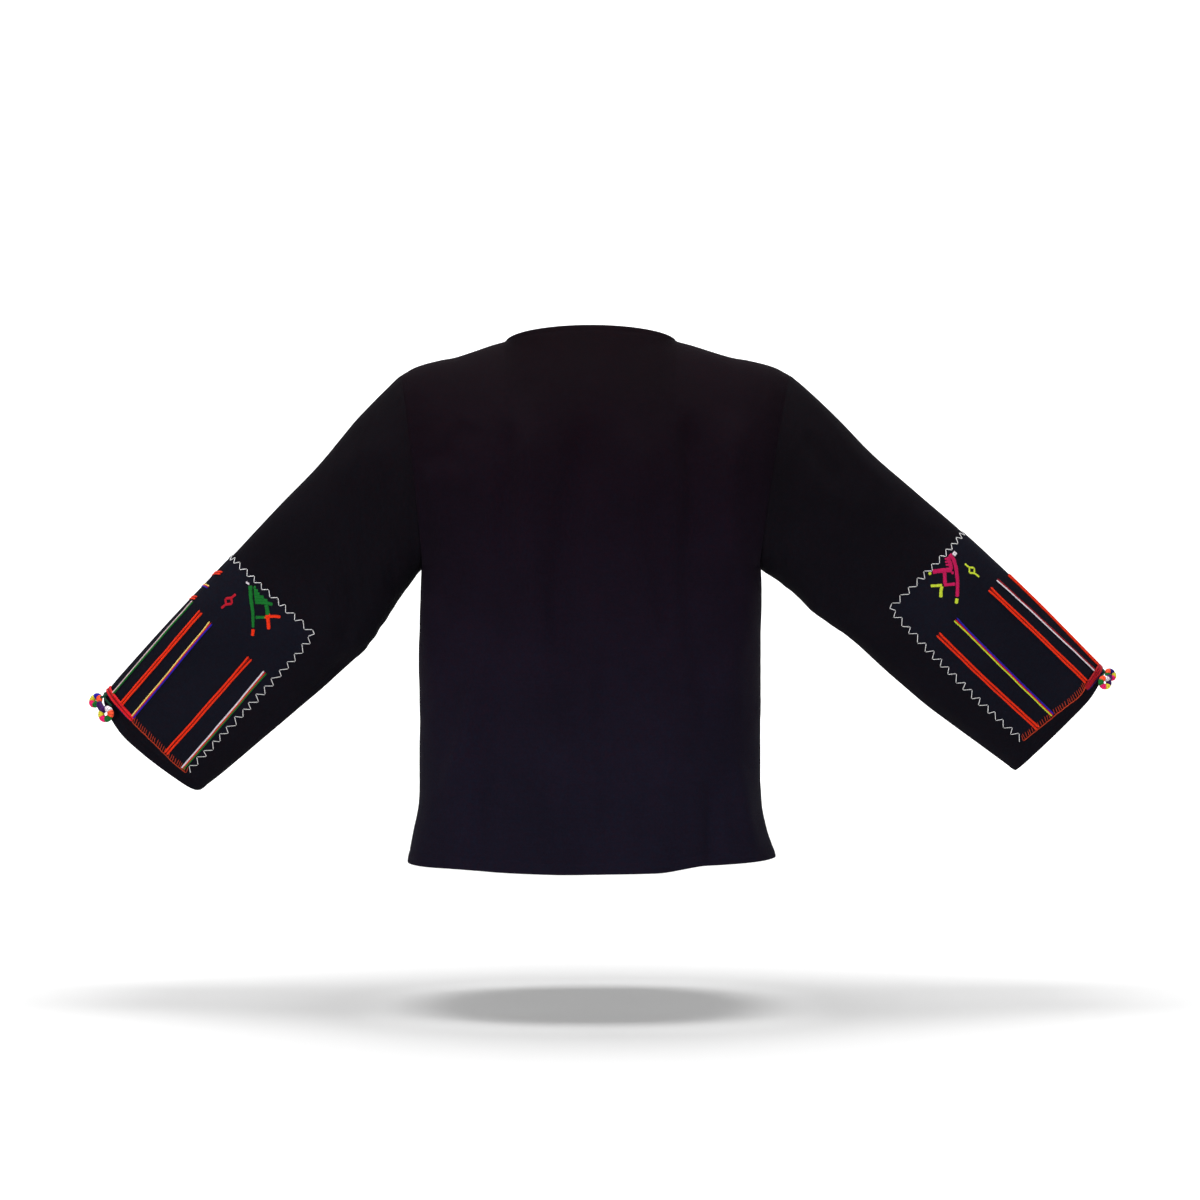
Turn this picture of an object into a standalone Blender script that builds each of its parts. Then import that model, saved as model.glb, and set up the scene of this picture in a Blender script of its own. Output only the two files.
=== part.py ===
"""Black woven-cotton jacket with wide straight sleeves, kept in the shape it has when it is worn.

Cut: one back, two fronts meeting edge to edge at the centre front, two straight sleeves, and on each sleeve end
an applied rectangle of cloth that folds over the sleeve's top edge, a red cord tab and two thread-wrapped rings.
Metres, +Z up. The back faces -Y. The origin is the centre of the neckline, level with the side-neck points.
Each panel is the outer face of the cloth, given thickness inwards and stopped short of every seam, so that
neighbours never touch. Neck, hem, cuffs, centre front and the two side vents are open.
"""

import math
from collections import namedtuple

import bpy
import numpy as np

MM = 0.001
WALL = 1.6  # mm, cloth with its seam turnings
SEAM_BACK = 0.22  # mm, how far each panel stops short of a seam
OPENING_BACK = 0.35  # mm, the same along the centre-front edges
PATCH_CLEAR = 0.3  # mm, between the sleeve and what is applied to it
PATCH_WALL = 1.0
TAB_WALL = 2.2

# Cut of the body
UNDERARM_Z = -262.2
NECK_HALF = 98.0
BACK_NECK_DEPTH, BACK_NECK_RISE = 70.0, 11.0
FRONT_NECK_DEPTH, FRONT_NECK_DROP = 75.0, 80.0
NECK_OUT, NECK_RISE, NECK_DROP = 0.75, 1.3, 1.7  # how the neckline turns from the shoulder seams
NECK_SHARE = 0.43  # of the half width, where the neck meets the shoulder seam
SIDE_ROUND = 2.3  # exponent of the horizontal section
SHOULDER_ROUND = 2.0  # exponent of the vertical section over the shoulder
BLADE_FULLNESS, BUST_FULLNESS = 13.0, 7.0
ARMHOLE_SCOOP = 8.0
NECK_STEPS, SHOULDER_STEPS = 6, 7  # columns across the neck, and across each shoulder
ARMHOLE_STEPS = 12  # rows from underarm to shoulder

Body = namedtuple("Body", "z left right back front back_edge front_edge")
BODY = [
    Body(-262.2, 196.0, 196.0, 126.0, 118.0, 0.0, 0.0),
    Body(-335.0, 196.0, 196.3, 119.0, 116.0, 0.0, 0.0),
    Body(-400.0, 196.0, 196.5, 117.0, 115.0, 0.0, 0.0),
    Body(-470.0, 197.0, 195.5, 120.0, 118.0, 0.0, 0.0),
    Body(-531.0, 198.0, 195.0, 124.0, 121.0, 0.0, 0.0),
    Body(-565.0, 204.5, 201.0, 126.0, 124.0, 5.0, 6.0),
    Body(-600.0, 211.0, 212.0, 128.0, 126.0, 11.0, 14.0),
]
BODY_ROWS_Z = [-600.0, -582.0, -565.0, -548.0, -531.0, -494.0, -450.0, -400.0, -352.0, -305.0, -262.2]
VENT_TOP_Z = -531.0

Shoulder = namedtuple("Shoulder", "along z")
SHOULDER_LINE = [
    Shoulder(0.00, 0.0),
    Shoulder(0.08, -2.0),
    Shoulder(0.31, -11.6),
    Shoulder(0.49, -18.6),
    Shoulder(0.62, -21.5),
    Shoulder(0.86, -30.0),
    Shoulder(1.00, -39.4),
]

# Sleeves: the line along the top (t) and along the underarm (b), the half depth, how far forward the arm hangs,
# and how much fuller the upper half of the section is than the lower half.
Sleeve = namedtuple("Sleeve", "tx tz bx bz depth forward upper")
SLEEVE_LEFT = [
    Sleeve(-221.6, -39.4, -196.0, -262.2, 70.0, 0.0, -0.15),
    Sleeve(-268.0, -87.0, -215.8, -286.5, 61.0, 0.0, -0.05),
    Sleeve(-315.5, -142.7, -234.3, -317.8, 54.0, 3.0, 0.05),
    Sleeve(-365.8, -193.3, -257.5, -349.4, 49.0, 10.0, 0.12),
    Sleeve(-418.8, -247.8, -286.7, -378.9, 45.0, 20.0, 0.15),
    Sleeve(-496.2, -327.5, -369.2, -448.6, 39.0, 32.0, 0.15),
    Sleeve(-573.3, -410.3, -458.7, -523.8, 33.0, 45.0, 0.10),
]
SLEEVE_RIGHT = [
    Sleeve(232.0, -39.4, 196.0, -262.2, 70.0, 0.0, -0.15),
    Sleeve(280.7, -84.7, 222.7, -281.9, 61.0, 0.0, -0.05),
    Sleeve(328.3, -132.2, 249.4, -305.1, 54.0, 3.0, 0.05),
    Sleeve(379.7, -175.8, 278.3, -327.2, 49.0, 10.0, 0.12),
    Sleeve(432.7, -219.7, 307.6, -349.6, 45.0, 20.0, 0.15),
    Sleeve(518.3, -298.1, 403.1, -429.7, 39.0, 32.0, 0.15),
    Sleeve(603.7, -382.0, 498.5, -499.0, 33.0, 45.0, 0.10),
]
SLEEVE_ROWS = [0.0, 0.22, 0.6, 1.0, 1.5, 2.0, 2.5, 3.0, 3.5, 4.0, 4.5, 5.0, 5.4, 5.75]
PATCH_FIRST_ROW = 9  # the patch's inner edge lies on this sleeve row
PATCH_FIRST_COLUMN, PATCH_LAST_COLUMN = -4, 8  # over the top edge to the front, and down the back

# The sleeve's end, as distances along the arm from the last section, at each angle round it (0 top, 90 back).
Cuff = namedtuple("Cuff", "angle patch_end tab_start tab_end edge")
CUFF_LEFT = [
    Cuff(0.0, -11.0, -10.4, -2.8, 0.0),
    Cuff(45.0, -11.0, -10.4, -2.8, 10.0),
    Cuff(68.0, -4.8, -4.2, 3.0, 14.0),
    Cuff(90.0, -4.5, -3.9, 3.0, 13.0),
    Cuff(130.0, -4.5, -3.9, 2.0, 8.0),
    Cuff(155.0, -10.0, -9.4, -2.0, 4.0),
    Cuff(180.0, -11.0, -10.4, -2.8, 0.0),
    Cuff(270.0, -11.0, -10.4, -4.0, -1.5),
    Cuff(360.0, -11.0, -10.4, -2.8, 0.0),
]
CUFF_RIGHT = [
    Cuff(0.0, -10.5, -9.9, -1.6, 0.0),
    Cuff(45.0, -10.5, -9.9, -1.2, 5.0),
    Cuff(60.0, -5.5, -4.9, 1.0, 6.3),
    Cuff(90.0, -10.0, -9.4, -2.0, 4.5),
    Cuff(130.0, -17.0, -16.4, -9.0, 2.0),
    Cuff(155.0, -15.0, -14.4, -7.0, 1.2),
    Cuff(180.0, -12.0, -11.4, -4.0, 0.5),
    Cuff(270.0, -11.0, -10.4, -4.0, -1.0),
    Cuff(360.0, -10.5, -9.9, -1.6, 0.0),
]
TAB_FIRST_COLUMN, TAB_LAST_COLUMN = -2, 4

# Soft folds that hang in the back: a ridge where height is positive, a furrow where it is negative.
Fold = namedtuple("Fold", "x_top z_top x_bottom z_bottom width height")
BACK_FOLDS = [
    Fold(-70.0, -80.0, -58.0, -420.0, 26.0, 3.5),
    Fold(-30.0, -100.0, -40.0, -360.0, 24.0, -3.0),
    Fold(45.0, -90.0, 38.0, -380.0, 34.0, 3.5),
    Fold(116.0, -90.0, 132.0, -450.0, 26.0, -4.0),
    Fold(-134.0, -392.0, -164.0, -520.0, 24.0, 4.0),
    Fold(165.0, -90.0, 168.0, -250.0, 22.0, 3.0),
    Fold(-128.0, -500.0, -134.0, -600.0, 22.0, -3.5),
    Fold(138.0, -540.0, 140.0, -620.0, 24.0, -3.5),
    Fold(-36.0, -460.0, -36.0, -600.0, 40.0, 3.0),
]

# Thread-wrapped rings at the sleeve's top corner: middle, the way the hole faces, and size.
Ring = namedtuple("Ring", "name x y z nx ny nz radius thickness colour")
RINGS = [
    Ring("thread_ring_left_1", -583.0, 35.0, -417.5, -0.45, -0.75, 0.45, 6.2, 6.6, (0.75, 0.06, 0.02)),
    Ring("thread_ring_left_2", -564.5, 7.5, -432.0, -0.25, -0.93, 0.20, 7.0, 6.8, (0.01, 0.12, 0.04)),
    Ring("thread_ring_right_1", 611.0, 34.0, -387.0, 0.45, -0.75, 0.45, 5.6, 6.2, (0.70, 0.02, 0.12)),
    Ring("thread_ring_right_2", 599.0, 12.0, -395.5, 0.25, -0.93, 0.20, 5.9, 6.2, (0.75, 0.10, 0.02)),
]
RING_STEPS, TUBE_STEPS = 14, 8

COTTON = (0.011, 0.0108, 0.0135)
PATCH_COTTON = (0.0125, 0.012, 0.017)
TAB_RED = (0.60, 0.01, 0.02)


def read(rows, key, column, at):
    """A column of a table at one value of its key column: a smooth curve through the rows."""
    x = np.array([getattr(r, key) for r in rows], float)
    y = np.array([getattr(r, column) for r in rows], float)
    if x[0] > x[-1]:
        x, y = x[::-1], y[::-1]
    at = min(max(at, x[0]), x[-1])
    i = int(min(np.searchsorted(x, at, "right") - 1, len(x) - 2))
    steps = np.diff(y) / np.diff(x)
    before = steps[i - 1] if i > 0 else steps[i]
    after = steps[i + 1] if i + 2 < len(x) else steps[i]
    span = x[i + 1] - x[i]
    a, b = 0.5 * (before + steps[i]) * span, 0.5 * (after + steps[i]) * span
    s = (at - x[i]) / span
    return float(
        y[i] * (2 * s**3 - 3 * s**2 + 1)
        + a * (s**3 - 2 * s**2 + s)
        + y[i + 1] * (3 * s**2 - 2 * s**3)
        + b * (s**3 - s**2)
    )


def by_station(rows, column, t):
    """The same for a sleeve, whose stations are numbered from the armhole."""
    keyed = [Shoulder(i, getattr(r, column)) for i, r in enumerate(rows)]
    return read(keyed, "along", "z", t)


def sleeve_point(rows, t, angle):
    """A point of the sleeve: t counts stations from the armhole, angle runs from the top over the back."""
    turn = math.radians(angle)
    tx, tz, bx, bz, depth, forward, upper = (
        by_station(rows, c, t) for c in Sleeve._fields
    )
    down = (1 - math.cos(turn)) / 2
    side = math.sin(turn)
    scoop = ARMHOLE_SCOOP * max(0.0, 1 - t) ** 2 * abs(side)
    return np.array(
        [
            tx + (bx - tx) * down - math.copysign(scoop, tx),
            forward - depth * side * (1 + upper * math.cos(turn)),
            tz + (bz - tz) * down,
        ]
    )


def cuff_point(rows, cuff, column, angle):
    """A point past the last station: so many mm along the arm from it."""
    last = rows[-1]
    across = np.array([last.bx - last.tx, 0.0, last.bz - last.tz])
    along = np.array([across[2], 0.0, -across[0]]) / np.linalg.norm(across)
    if along[0] * last.tx < 0:
        along = -along
    return sleeve_point(rows, len(rows) - 1, angle) + along * read(
        cuff, "angle", column, angle % 360
    )


def top_point(side, across):
    """The shoulder seam and the neck edge, at a share of the half width (-1 left, 1 right)."""
    tip = abs((SLEEVE_LEFT if across < 0 else SLEEVE_RIGHT)[0].tx)
    sign = -1.0 if across < 0 else 1.0
    share = abs(across)
    if share >= NECK_SHARE - 1e-9:
        along = (share - NECK_SHARE) / (1 - NECK_SHARE)
        x = NECK_HALF + (tip - NECK_HALF) * along
        return np.array([sign * x, 0.0, read(SHOULDER_LINE, "along", "z", along)])
    turn = math.sqrt(max(0.0, 1 - (share / NECK_SHARE) ** 2))
    if side < 0:
        y, z = -BACK_NECK_DEPTH * turn**NECK_OUT, BACK_NECK_RISE * turn**NECK_RISE
    else:
        y, z = FRONT_NECK_DEPTH * turn**NECK_OUT, -FRONT_NECK_DROP * turn**NECK_DROP
    return np.array([sign * NECK_HALF * share / NECK_SHARE, y, z])


def bow(share):
    """How full a horizontal section is at a share of its half width."""
    return max(0.0, 1 - abs(share) ** SIDE_ROUND) ** (1 / SIDE_ROUND)


def section_point(side, across, z):
    """A point of the body below the underarm."""
    half = read(BODY, "z", "left" if across < 0 else "right", z)
    full = read(BODY, "z", "back" if side < 0 else "front", z)
    edge = 0.0
    if z < VENT_TOP_Z:
        edge = read(BODY, "z", "back_edge" if side < 0 else "front_edge", z)
    return np.array([half * across, side * (edge + (full - edge) * bow(across)), z])


def yoke_point(side, across, step):
    """A point between the underarm (step 0) and the shoulder seam (step ARMHOLE_STEPS)."""
    v = step / ARMHOLE_STEPS
    sign = math.copysign(1, across)
    rows = SLEEVE_LEFT if across < 0 else SLEEVE_RIGHT
    low, high = section_point(side, across, UNDERARM_Z), top_point(side, across)
    full = read(BODY, "z", "back" if side < 0 else "front", UNDERARM_Z)

    def armhole(v):
        """How far round the section the armhole lies, and its x."""
        rise = (1 - math.cos(math.pi * v)) / 2
        arm = sleeve_point(rows, 0, 180 * (1 - v) if side < 0 else 180 * (1 + v))
        most = full * max(1e-9, 1 - rise**SHOULDER_ROUND) ** (1 / SHOULDER_ROUND)
        return (1 - min(1.0, abs(arm[1]) / most) ** SIDE_ROUND) ** (1 / SIDE_ROUND), arm

    end, _ = armhole(0.999)
    reach = min(1.0, abs(high[1]) / (full * bow(across * end)))
    most = (1 - reach**SHOULDER_ROUND) ** (1 / SHOULDER_ROUND)
    rise = (1 - math.cos(math.pi * v)) / 2
    round_off = max(0.0, 1 - (rise * most) ** SHOULDER_ROUND) ** (1 / SHOULDER_ROUND)
    fullness = BLADE_FULLNESS if side < 0 else BUST_FULLNESS
    plump = fullness * math.sin(math.pi * rise) ** 2 * max(0.0, 1 - across**2) ** 2
    around, arm = armhole(v) if step < ARMHOLE_STEPS else armhole(0.9999)
    chord = low + (high - low) * rise
    edge, tip = section_point(side, sign, UNDERARM_Z), top_point(side, sign)
    scoop = arm[0] - (edge[0] + (tip[0] - edge[0]) * rise)
    y = side * (full * round_off * bow(across * around) + plump)
    if abs(across) > 1 - 1e-9:
        y = sleeve_point(rows, 0, 180 * (1 - v) if side < 0 else 180 * (1 + v))[1]
    return np.array([chord[0] + scoop * abs(across) ** 12, y, chord[2]])


def folded(point, across):
    """Adds the hanging folds to a point of the back, fading to nothing at the seams and the neck."""
    x, _, z = point
    lift = 0.0
    for f in BACK_FOLDS:
        down = (f.z_top - z) / (f.z_top - f.z_bottom)
        if not -0.25 < down < 1.25:
            continue
        if f.z_bottom <= -599:
            fade = min(1.0, max(0.0, (down + 0.25) / 0.5))
        else:
            fade = min(1.0, (down + 0.25) / 0.5, (1.25 - down) / 0.5)
        fade = fade * fade * (3 - 2 * fade)
        middle = f.x_top + (f.x_bottom - f.x_top) * down
        lift += f.height * fade * math.exp(-(((x - middle) / f.width) ** 2))
    seam = min(1.0, (1 - abs(across)) / 0.12) * min(1.0, max(0.0, (-25 - z) / 50))
    return point + np.array([0.0, -lift * seam, 0.0])


def columns():
    """Shares of the half width where the cloth is sampled, from left to right."""
    low = math.asin(NECK_SHARE)
    outer = [
        math.sin(low + (math.pi / 2 - low) * i / SHOULDER_STEPS)
        for i in range(SHOULDER_STEPS + 1)
    ]
    inner = [
        NECK_SHARE * math.sin(math.pi * (i / NECK_STEPS - 0.5))
        for i in range(1, NECK_STEPS)
    ]
    return [-s for s in outer[::-1]] + inner + outer


def body_grid(side, shares):
    grid = []
    for z in BODY_ROWS_Z:
        grid.append([section_point(side, s, z) for s in shares])
    for step in range(1, ARMHOLE_STEPS + 1):
        grid.append([yoke_point(side, s, step) for s in shares])
    if side < 0:
        grid = [[folded(p, s) for p, s in zip(row, shares)] for row in grid]
    return np.array(grid)


def sleeve_grid(rows, cuff):
    angles = [180 * i / ARMHOLE_STEPS for i in range(2 * ARMHOLE_STEPS)]
    grid = [[sleeve_point(rows, t, a) for a in angles] for t in SLEEVE_ROWS]
    for column in ("patch_end", "tab_start", "tab_end", "edge"):
        grid.append([cuff_point(rows, cuff, column, a) for a in angles])
    return np.array(grid)


class Panel:
    """A grid of points on the outer face of the cloth."""

    def __init__(self, name, grid, closed, flip, colour, seams):
        self.name, self.grid, self.closed, self.flip = name, grid, closed, flip
        self.colour, self.seams = colour, seams

    def triangles(self):
        rows, cols = self.grid.shape[:2]
        found = []
        for i in range(rows - 1):
            for j in range(cols if self.closed else cols - 1):
                k = (j + 1) % cols
                a, b = i * cols + j, i * cols + k
                c, d = (i + 1) * cols + k, (i + 1) * cols + j
                found += [(a, b, c), (a, c, d)]
        return [t[::-1] for t in found] if self.flip else found


def key(point):
    return tuple(int(round(float(c) * 100)) for c in point)


def shared_normals(panels):
    """One normal for each point of the cloth, the same on both sides of a seam."""
    total = {}
    for p in panels:
        flat = p.grid.reshape(-1, 3)
        for t in p.triangles():
            a, b, c = (flat[i] for i in t)
            cross = np.cross(b - a, c - a)
            size = np.linalg.norm(cross)
            if size < 1e-9:
                continue
            for i, u, w in ((0, b - a, c - a), (1, c - b, a - b), (2, a - c, b - c)):
                angle = math.acos(
                    max(-1.0, min(1.0, u @ w / (np.linalg.norm(u) * np.linalg.norm(w))))
                )
                k = key(flat[t[i]])
                total[k] = total.get(k, 0) + cross / size * angle
    normals = []
    for p in panels:
        n = np.array([total[key(q)] for q in p.grid.reshape(-1, 3)])
        n /= np.linalg.norm(n, axis=1)[:, None]
        normals.append(n.reshape(p.grid.shape))
    return normals


def stopped_short(panel, normals):
    """The panel with its seam edges drawn back within its own surface."""
    g, moved = panel.grid, np.zeros_like(panel.grid)
    rows, cols = g.shape[:2]
    edges = {
        "low": (0, slice(None), 1, slice(None)),
        "high": (rows - 1, slice(None), rows - 2, slice(None)),
        "left": (slice(None), 0, slice(None), 1),
        "right": (slice(None), cols - 1, slice(None), cols - 2),
    }
    for edge, (i, j, ii, jj) in edges.items():
        if edge not in panel.seams:
            continue
        line, inside, n = g[i, j], g[ii, jj], normals[i, j]
        if panel.closed and edge in ("low", "high"):
            tangent = np.roll(line, -1, 0) - np.roll(line, 1, 0)
        else:
            tangent = np.gradient(line, axis=0)
        way = np.cross(tangent, n)
        way /= np.linalg.norm(way, axis=1)[:, None]
        way *= np.sign(np.einsum("ij,ij->i", way, inside - line))[:, None]
        amount, mask = panel.seams[edge]
        moved[i, j] += way * amount * mask[:, None]
    return g + moved


def solid(name, outer, inner, triangles, closed, colour, roughness=0.9):
    """One closed body between two faces of the same grid."""
    rows, cols = outer.shape[:2]
    count = rows * cols
    points = np.concatenate([outer.reshape(-1, 3), inner.reshape(-1, 3)]) * MM
    faces = list(triangles) + [tuple(i + count for i in t[::-1]) for t in triangles]
    used = {}
    for t in triangles:
        for a, b in zip(t, t[1:] + t[:1]):
            used[(a, b)] = True
    for a, b in used:
        if (b, a) not in used:
            faces += [(b, a, a + count), (b, a + count, b + count)]
    mesh = bpy.data.meshes.new(name)
    mesh.from_pydata([tuple(p) for p in points], [], faces)
    mesh.update()
    link(name, mesh, colour, roughness)


def link(name, mesh, colour, roughness):
    material = bpy.data.materials.new(name)
    material.use_nodes = True
    shader = material.node_tree.nodes["Principled BSDF"]
    shader.inputs["Base Color"].default_value = (*colour, 1.0)
    shader.inputs["Roughness"].default_value = roughness
    shader.inputs["Metallic"].default_value = 0.0
    mesh.materials.append(material)
    bpy.context.scene.collection.objects.link(bpy.data.objects.new(name, mesh))


def applied(name, panel, normals, rows, cols, wall, colour, drawn_in):
    """Cloth laid on a sleeve: the sleeve's own points, moved out."""
    pick = np.ix_(rows, cols)
    base, n = panel.grid[pick], normals[pick]
    piece = Panel(name, base, False, panel.flip, colour, drawn_in)
    lying = stopped_short(piece, n)
    solid(
        name,
        lying + n * (PATCH_CLEAR + wall),
        lying + n * PATCH_CLEAR,
        piece.triangles(),
        False,
        colour,
    )


def thread_ring(ring):
    n = np.array([ring.nx, ring.ny, ring.nz])
    n /= np.linalg.norm(n)
    u = np.cross(n, (0, 0, 1))
    u /= np.linalg.norm(u)
    w = np.cross(n, u)
    middle = np.array([ring.x, ring.y, ring.z])
    points, faces = [], []
    for i in range(RING_STEPS):
        a = 2 * math.pi * i / RING_STEPS
        out = u * math.cos(a) + w * math.sin(a)
        for j in range(TUBE_STEPS):
            b = 2 * math.pi * j / TUBE_STEPS
            thick = ring.thickness / 2
            p = middle + out * (ring.radius + thick * math.cos(b)) + n * thick * math.sin(b)
            points.append(tuple(p * MM))
            i2, j2 = (i + 1) % RING_STEPS, (j + 1) % TUBE_STEPS
            a0, a1 = i * TUBE_STEPS + j, i * TUBE_STEPS + j2
            b0, b1 = i2 * TUBE_STEPS + j, i2 * TUBE_STEPS + j2
            faces.append((a0, b0, b1, a1))
    mesh = bpy.data.meshes.new(ring.name)
    mesh.from_pydata(points, [], faces)
    mesh.update()
    link(ring.name, mesh, ring.colour, 0.7)


def main():
    for old in list(bpy.data.objects):
        bpy.data.objects.remove(old, do_unlink=True)
    shares = columns()
    middle = len(shares) // 2
    n_body = len(BODY_ROWS_Z) + ARMHOLE_STEPS
    vent = np.array([1.0 if z >= VENT_TOP_Z else 0.0 for z in BODY_ROWS_Z] + [1.0] * ARMHOLE_STEPS)
    shoulder = np.array([1.0 if abs(s) >= NECK_SHARE - 1e-9 else 0.0 for s in shares])
    ones = np.ones(n_body)
    side = (SEAM_BACK, vent)
    panels = [
        Panel("back", body_grid(-1, shares), False, False, COTTON,
              {"left": side, "right": side, "high": (SEAM_BACK, shoulder)}),
        Panel("front_left", body_grid(1, shares[: middle + 1]), False, True, COTTON,
              {"left": side, "right": (OPENING_BACK, ones), "high": (SEAM_BACK, shoulder[: middle + 1])}),
        Panel("front_right", body_grid(1, shares[middle:]), False, True, COTTON,
              {"left": (OPENING_BACK, ones), "right": side, "high": (SEAM_BACK, shoulder[middle:])}),
    ]
    ring_ones = np.ones(2 * ARMHOLE_STEPS)
    for name, rows, cuff, flip in (
        ("sleeve_left", SLEEVE_LEFT, CUFF_LEFT, True),
        ("sleeve_right", SLEEVE_RIGHT, CUFF_RIGHT, False),
    ):
        panels.append(
            Panel(name, sleeve_grid(rows, cuff), True, flip, COTTON, {"low": (SEAM_BACK, ring_ones)})
        )
    normals = shared_normals(panels)
    for panel, n in zip(panels, normals):
        lying = stopped_short(panel, n)
        solid(panel.name, lying, lying - n * WALL, panel.triangles(), panel.closed, panel.colour)
    patch_rows = list(range(PATCH_FIRST_ROW, len(SLEEVE_ROWS) + 1))
    tab_rows = [len(SLEEVE_ROWS) + 1, len(SLEEVE_ROWS) + 2]
    for panel, n in zip(panels[3:], normals[3:]):
        hand = panel.name.split("_")[1]
        count = panel.grid.shape[1]
        cols = [c % count for c in range(PATCH_FIRST_COLUMN, PATCH_LAST_COLUMN + 1)]
        applied("sleeve_patch_" + hand, panel, n, patch_rows, cols, PATCH_WALL, PATCH_COTTON, {})
        cols = [c % count for c in range(TAB_FIRST_COLUMN, TAB_LAST_COLUMN + 1)]
        applied("cuff_tab_" + hand, panel, n, tab_rows, cols, TAB_WALL, TAB_RED, {})
    for ring in RINGS:
        thread_ring(ring)


main()
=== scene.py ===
"""Black cotton jacket with embroidered sleeve ends, seen from the back in its worn shape.

Every piece is made from the same measurements as the CAD model, sampled finely, with the cloth's folds, seams and
hems added, and the applied needlework laid on the sleeves as thread. Lengths in the tables are in mm.
"""

import math

from collections import namedtuple  # noqa: E402

import bpy  # noqa: E402
import numpy as np  # noqa: E402
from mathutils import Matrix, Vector  # noqa: E402


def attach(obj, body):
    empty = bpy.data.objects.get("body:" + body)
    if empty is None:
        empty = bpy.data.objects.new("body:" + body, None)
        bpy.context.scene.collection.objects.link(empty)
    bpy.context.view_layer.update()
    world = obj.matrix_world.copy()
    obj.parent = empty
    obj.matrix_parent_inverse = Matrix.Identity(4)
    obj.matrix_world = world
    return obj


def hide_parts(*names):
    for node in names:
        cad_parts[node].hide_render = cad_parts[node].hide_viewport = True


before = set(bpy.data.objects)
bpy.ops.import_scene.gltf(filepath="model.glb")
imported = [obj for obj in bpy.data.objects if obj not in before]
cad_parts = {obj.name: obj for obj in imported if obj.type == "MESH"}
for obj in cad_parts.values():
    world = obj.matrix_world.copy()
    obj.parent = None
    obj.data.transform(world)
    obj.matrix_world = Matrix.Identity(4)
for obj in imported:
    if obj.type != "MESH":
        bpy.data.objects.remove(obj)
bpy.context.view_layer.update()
MM = 0.001

# ---------------------------------------------------------------------------------------------------------------
# The cut, as in the CAD model
# ---------------------------------------------------------------------------------------------------------------
UNDERARM_Z, VENT_TOP_Z, HEM_Z = -262.2, -531.0, -600.0
NECK_HALF, NECK_SHARE = 98.0, 0.43
BACK_NECK_DEPTH, BACK_NECK_RISE = 70.0, 11.0
FRONT_NECK_DEPTH, FRONT_NECK_DROP = 75.0, 80.0
NECK_OUT, NECK_RISE, NECK_DROP = 0.75, 1.3, 1.7
SIDE_ROUND = 2.3
BLADE_FULLNESS, BUST_FULLNESS = 13.0, 7.0
ARMHOLE_SCOOP = 8.0

Body = namedtuple("Body", "z left right back front back_edge front_edge")
BODY = [
    Body(-262.2, 196.0, 196.0, 126.0, 118.0, 0.0, 0.0),
    Body(-335.0, 196.0, 196.3, 119.0, 116.0, 0.0, 0.0),
    Body(-400.0, 196.0, 196.5, 117.0, 115.0, 0.0, 0.0),
    Body(-470.0, 197.0, 195.5, 120.0, 118.0, 0.0, 0.0),
    Body(-531.0, 198.0, 195.0, 124.0, 121.0, 0.0, 0.0),
    Body(-565.0, 204.5, 201.0, 126.0, 124.0, 5.0, 6.0),
    Body(-600.0, 211.0, 212.0, 128.0, 126.0, 11.0, 14.0),
]
Shoulder = namedtuple("Shoulder", "along z")
SHOULDER_LINE = [
    Shoulder(0.00, 0.0),
    Shoulder(0.08, -2.0),
    Shoulder(0.31, -11.6),
    Shoulder(0.49, -18.6),
    Shoulder(0.62, -21.5),
    Shoulder(0.86, -30.0),
    Shoulder(1.00, -39.4),
]
Sleeve = namedtuple("Sleeve", "tx tz bx bz depth forward upper")
SLEEVES = {
    "left": [
        Sleeve(-221.6, -39.4, -196.0, -262.2, 70.0, 0.0, -0.15),
        Sleeve(-268.0, -87.0, -215.8, -286.5, 61.0, 0.0, -0.05),
        Sleeve(-315.5, -142.7, -234.3, -317.8, 54.0, 3.0, 0.05),
        Sleeve(-365.8, -193.3, -257.5, -349.4, 49.0, 10.0, 0.12),
        Sleeve(-418.8, -247.8, -286.7, -378.9, 45.0, 20.0, 0.15),
        Sleeve(-496.2, -327.5, -369.2, -448.6, 39.0, 32.0, 0.15),
        Sleeve(-573.3, -410.3, -458.7, -523.8, 33.0, 45.0, 0.10),
    ],
    "right": [
        Sleeve(232.0, -39.4, 196.0, -262.2, 70.0, 0.0, -0.15),
        Sleeve(280.7, -84.7, 222.7, -281.9, 61.0, 0.0, -0.05),
        Sleeve(328.3, -132.2, 249.4, -305.1, 54.0, 3.0, 0.05),
        Sleeve(379.7, -175.8, 278.3, -327.2, 49.0, 10.0, 0.12),
        Sleeve(432.7, -219.7, 307.6, -349.6, 45.0, 20.0, 0.15),
        Sleeve(518.3, -298.1, 403.1, -429.7, 39.0, 32.0, 0.15),
        Sleeve(603.7, -382.0, 498.5, -499.0, 33.0, 45.0, 0.10),
    ],
}
Cuff = namedtuple("Cuff", "angle patch_end edge")
CUFFS = {
    "left": [
        Cuff(0.0, -11.0, 0.0),
        Cuff(45.0, -11.0, 10.0),
        Cuff(68.0, -4.8, 14.0),
        Cuff(90.0, -4.5, 13.0),
        Cuff(130.0, -4.5, 8.0),
        Cuff(155.0, -10.0, 5.0),
        Cuff(180.0, -11.0, 1.8),
        Cuff(270.0, -11.0, -1.5),
        Cuff(360.0, -11.0, 0.0),
    ],
    "right": [
        Cuff(0.0, -10.5, 0.0),
        Cuff(45.0, -10.5, 5.0),
        Cuff(60.0, -5.5, 6.3),
        Cuff(90.0, -12.2, 4.5),
        Cuff(130.0, -19.0, 2.6),
        Cuff(155.0, -17.0, 2.6),
        Cuff(180.0, -12.0, 2.8),
        Cuff(270.0, -11.0, -1.0),
        Cuff(360.0, -10.5, 0.0),
    ],
}
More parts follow.
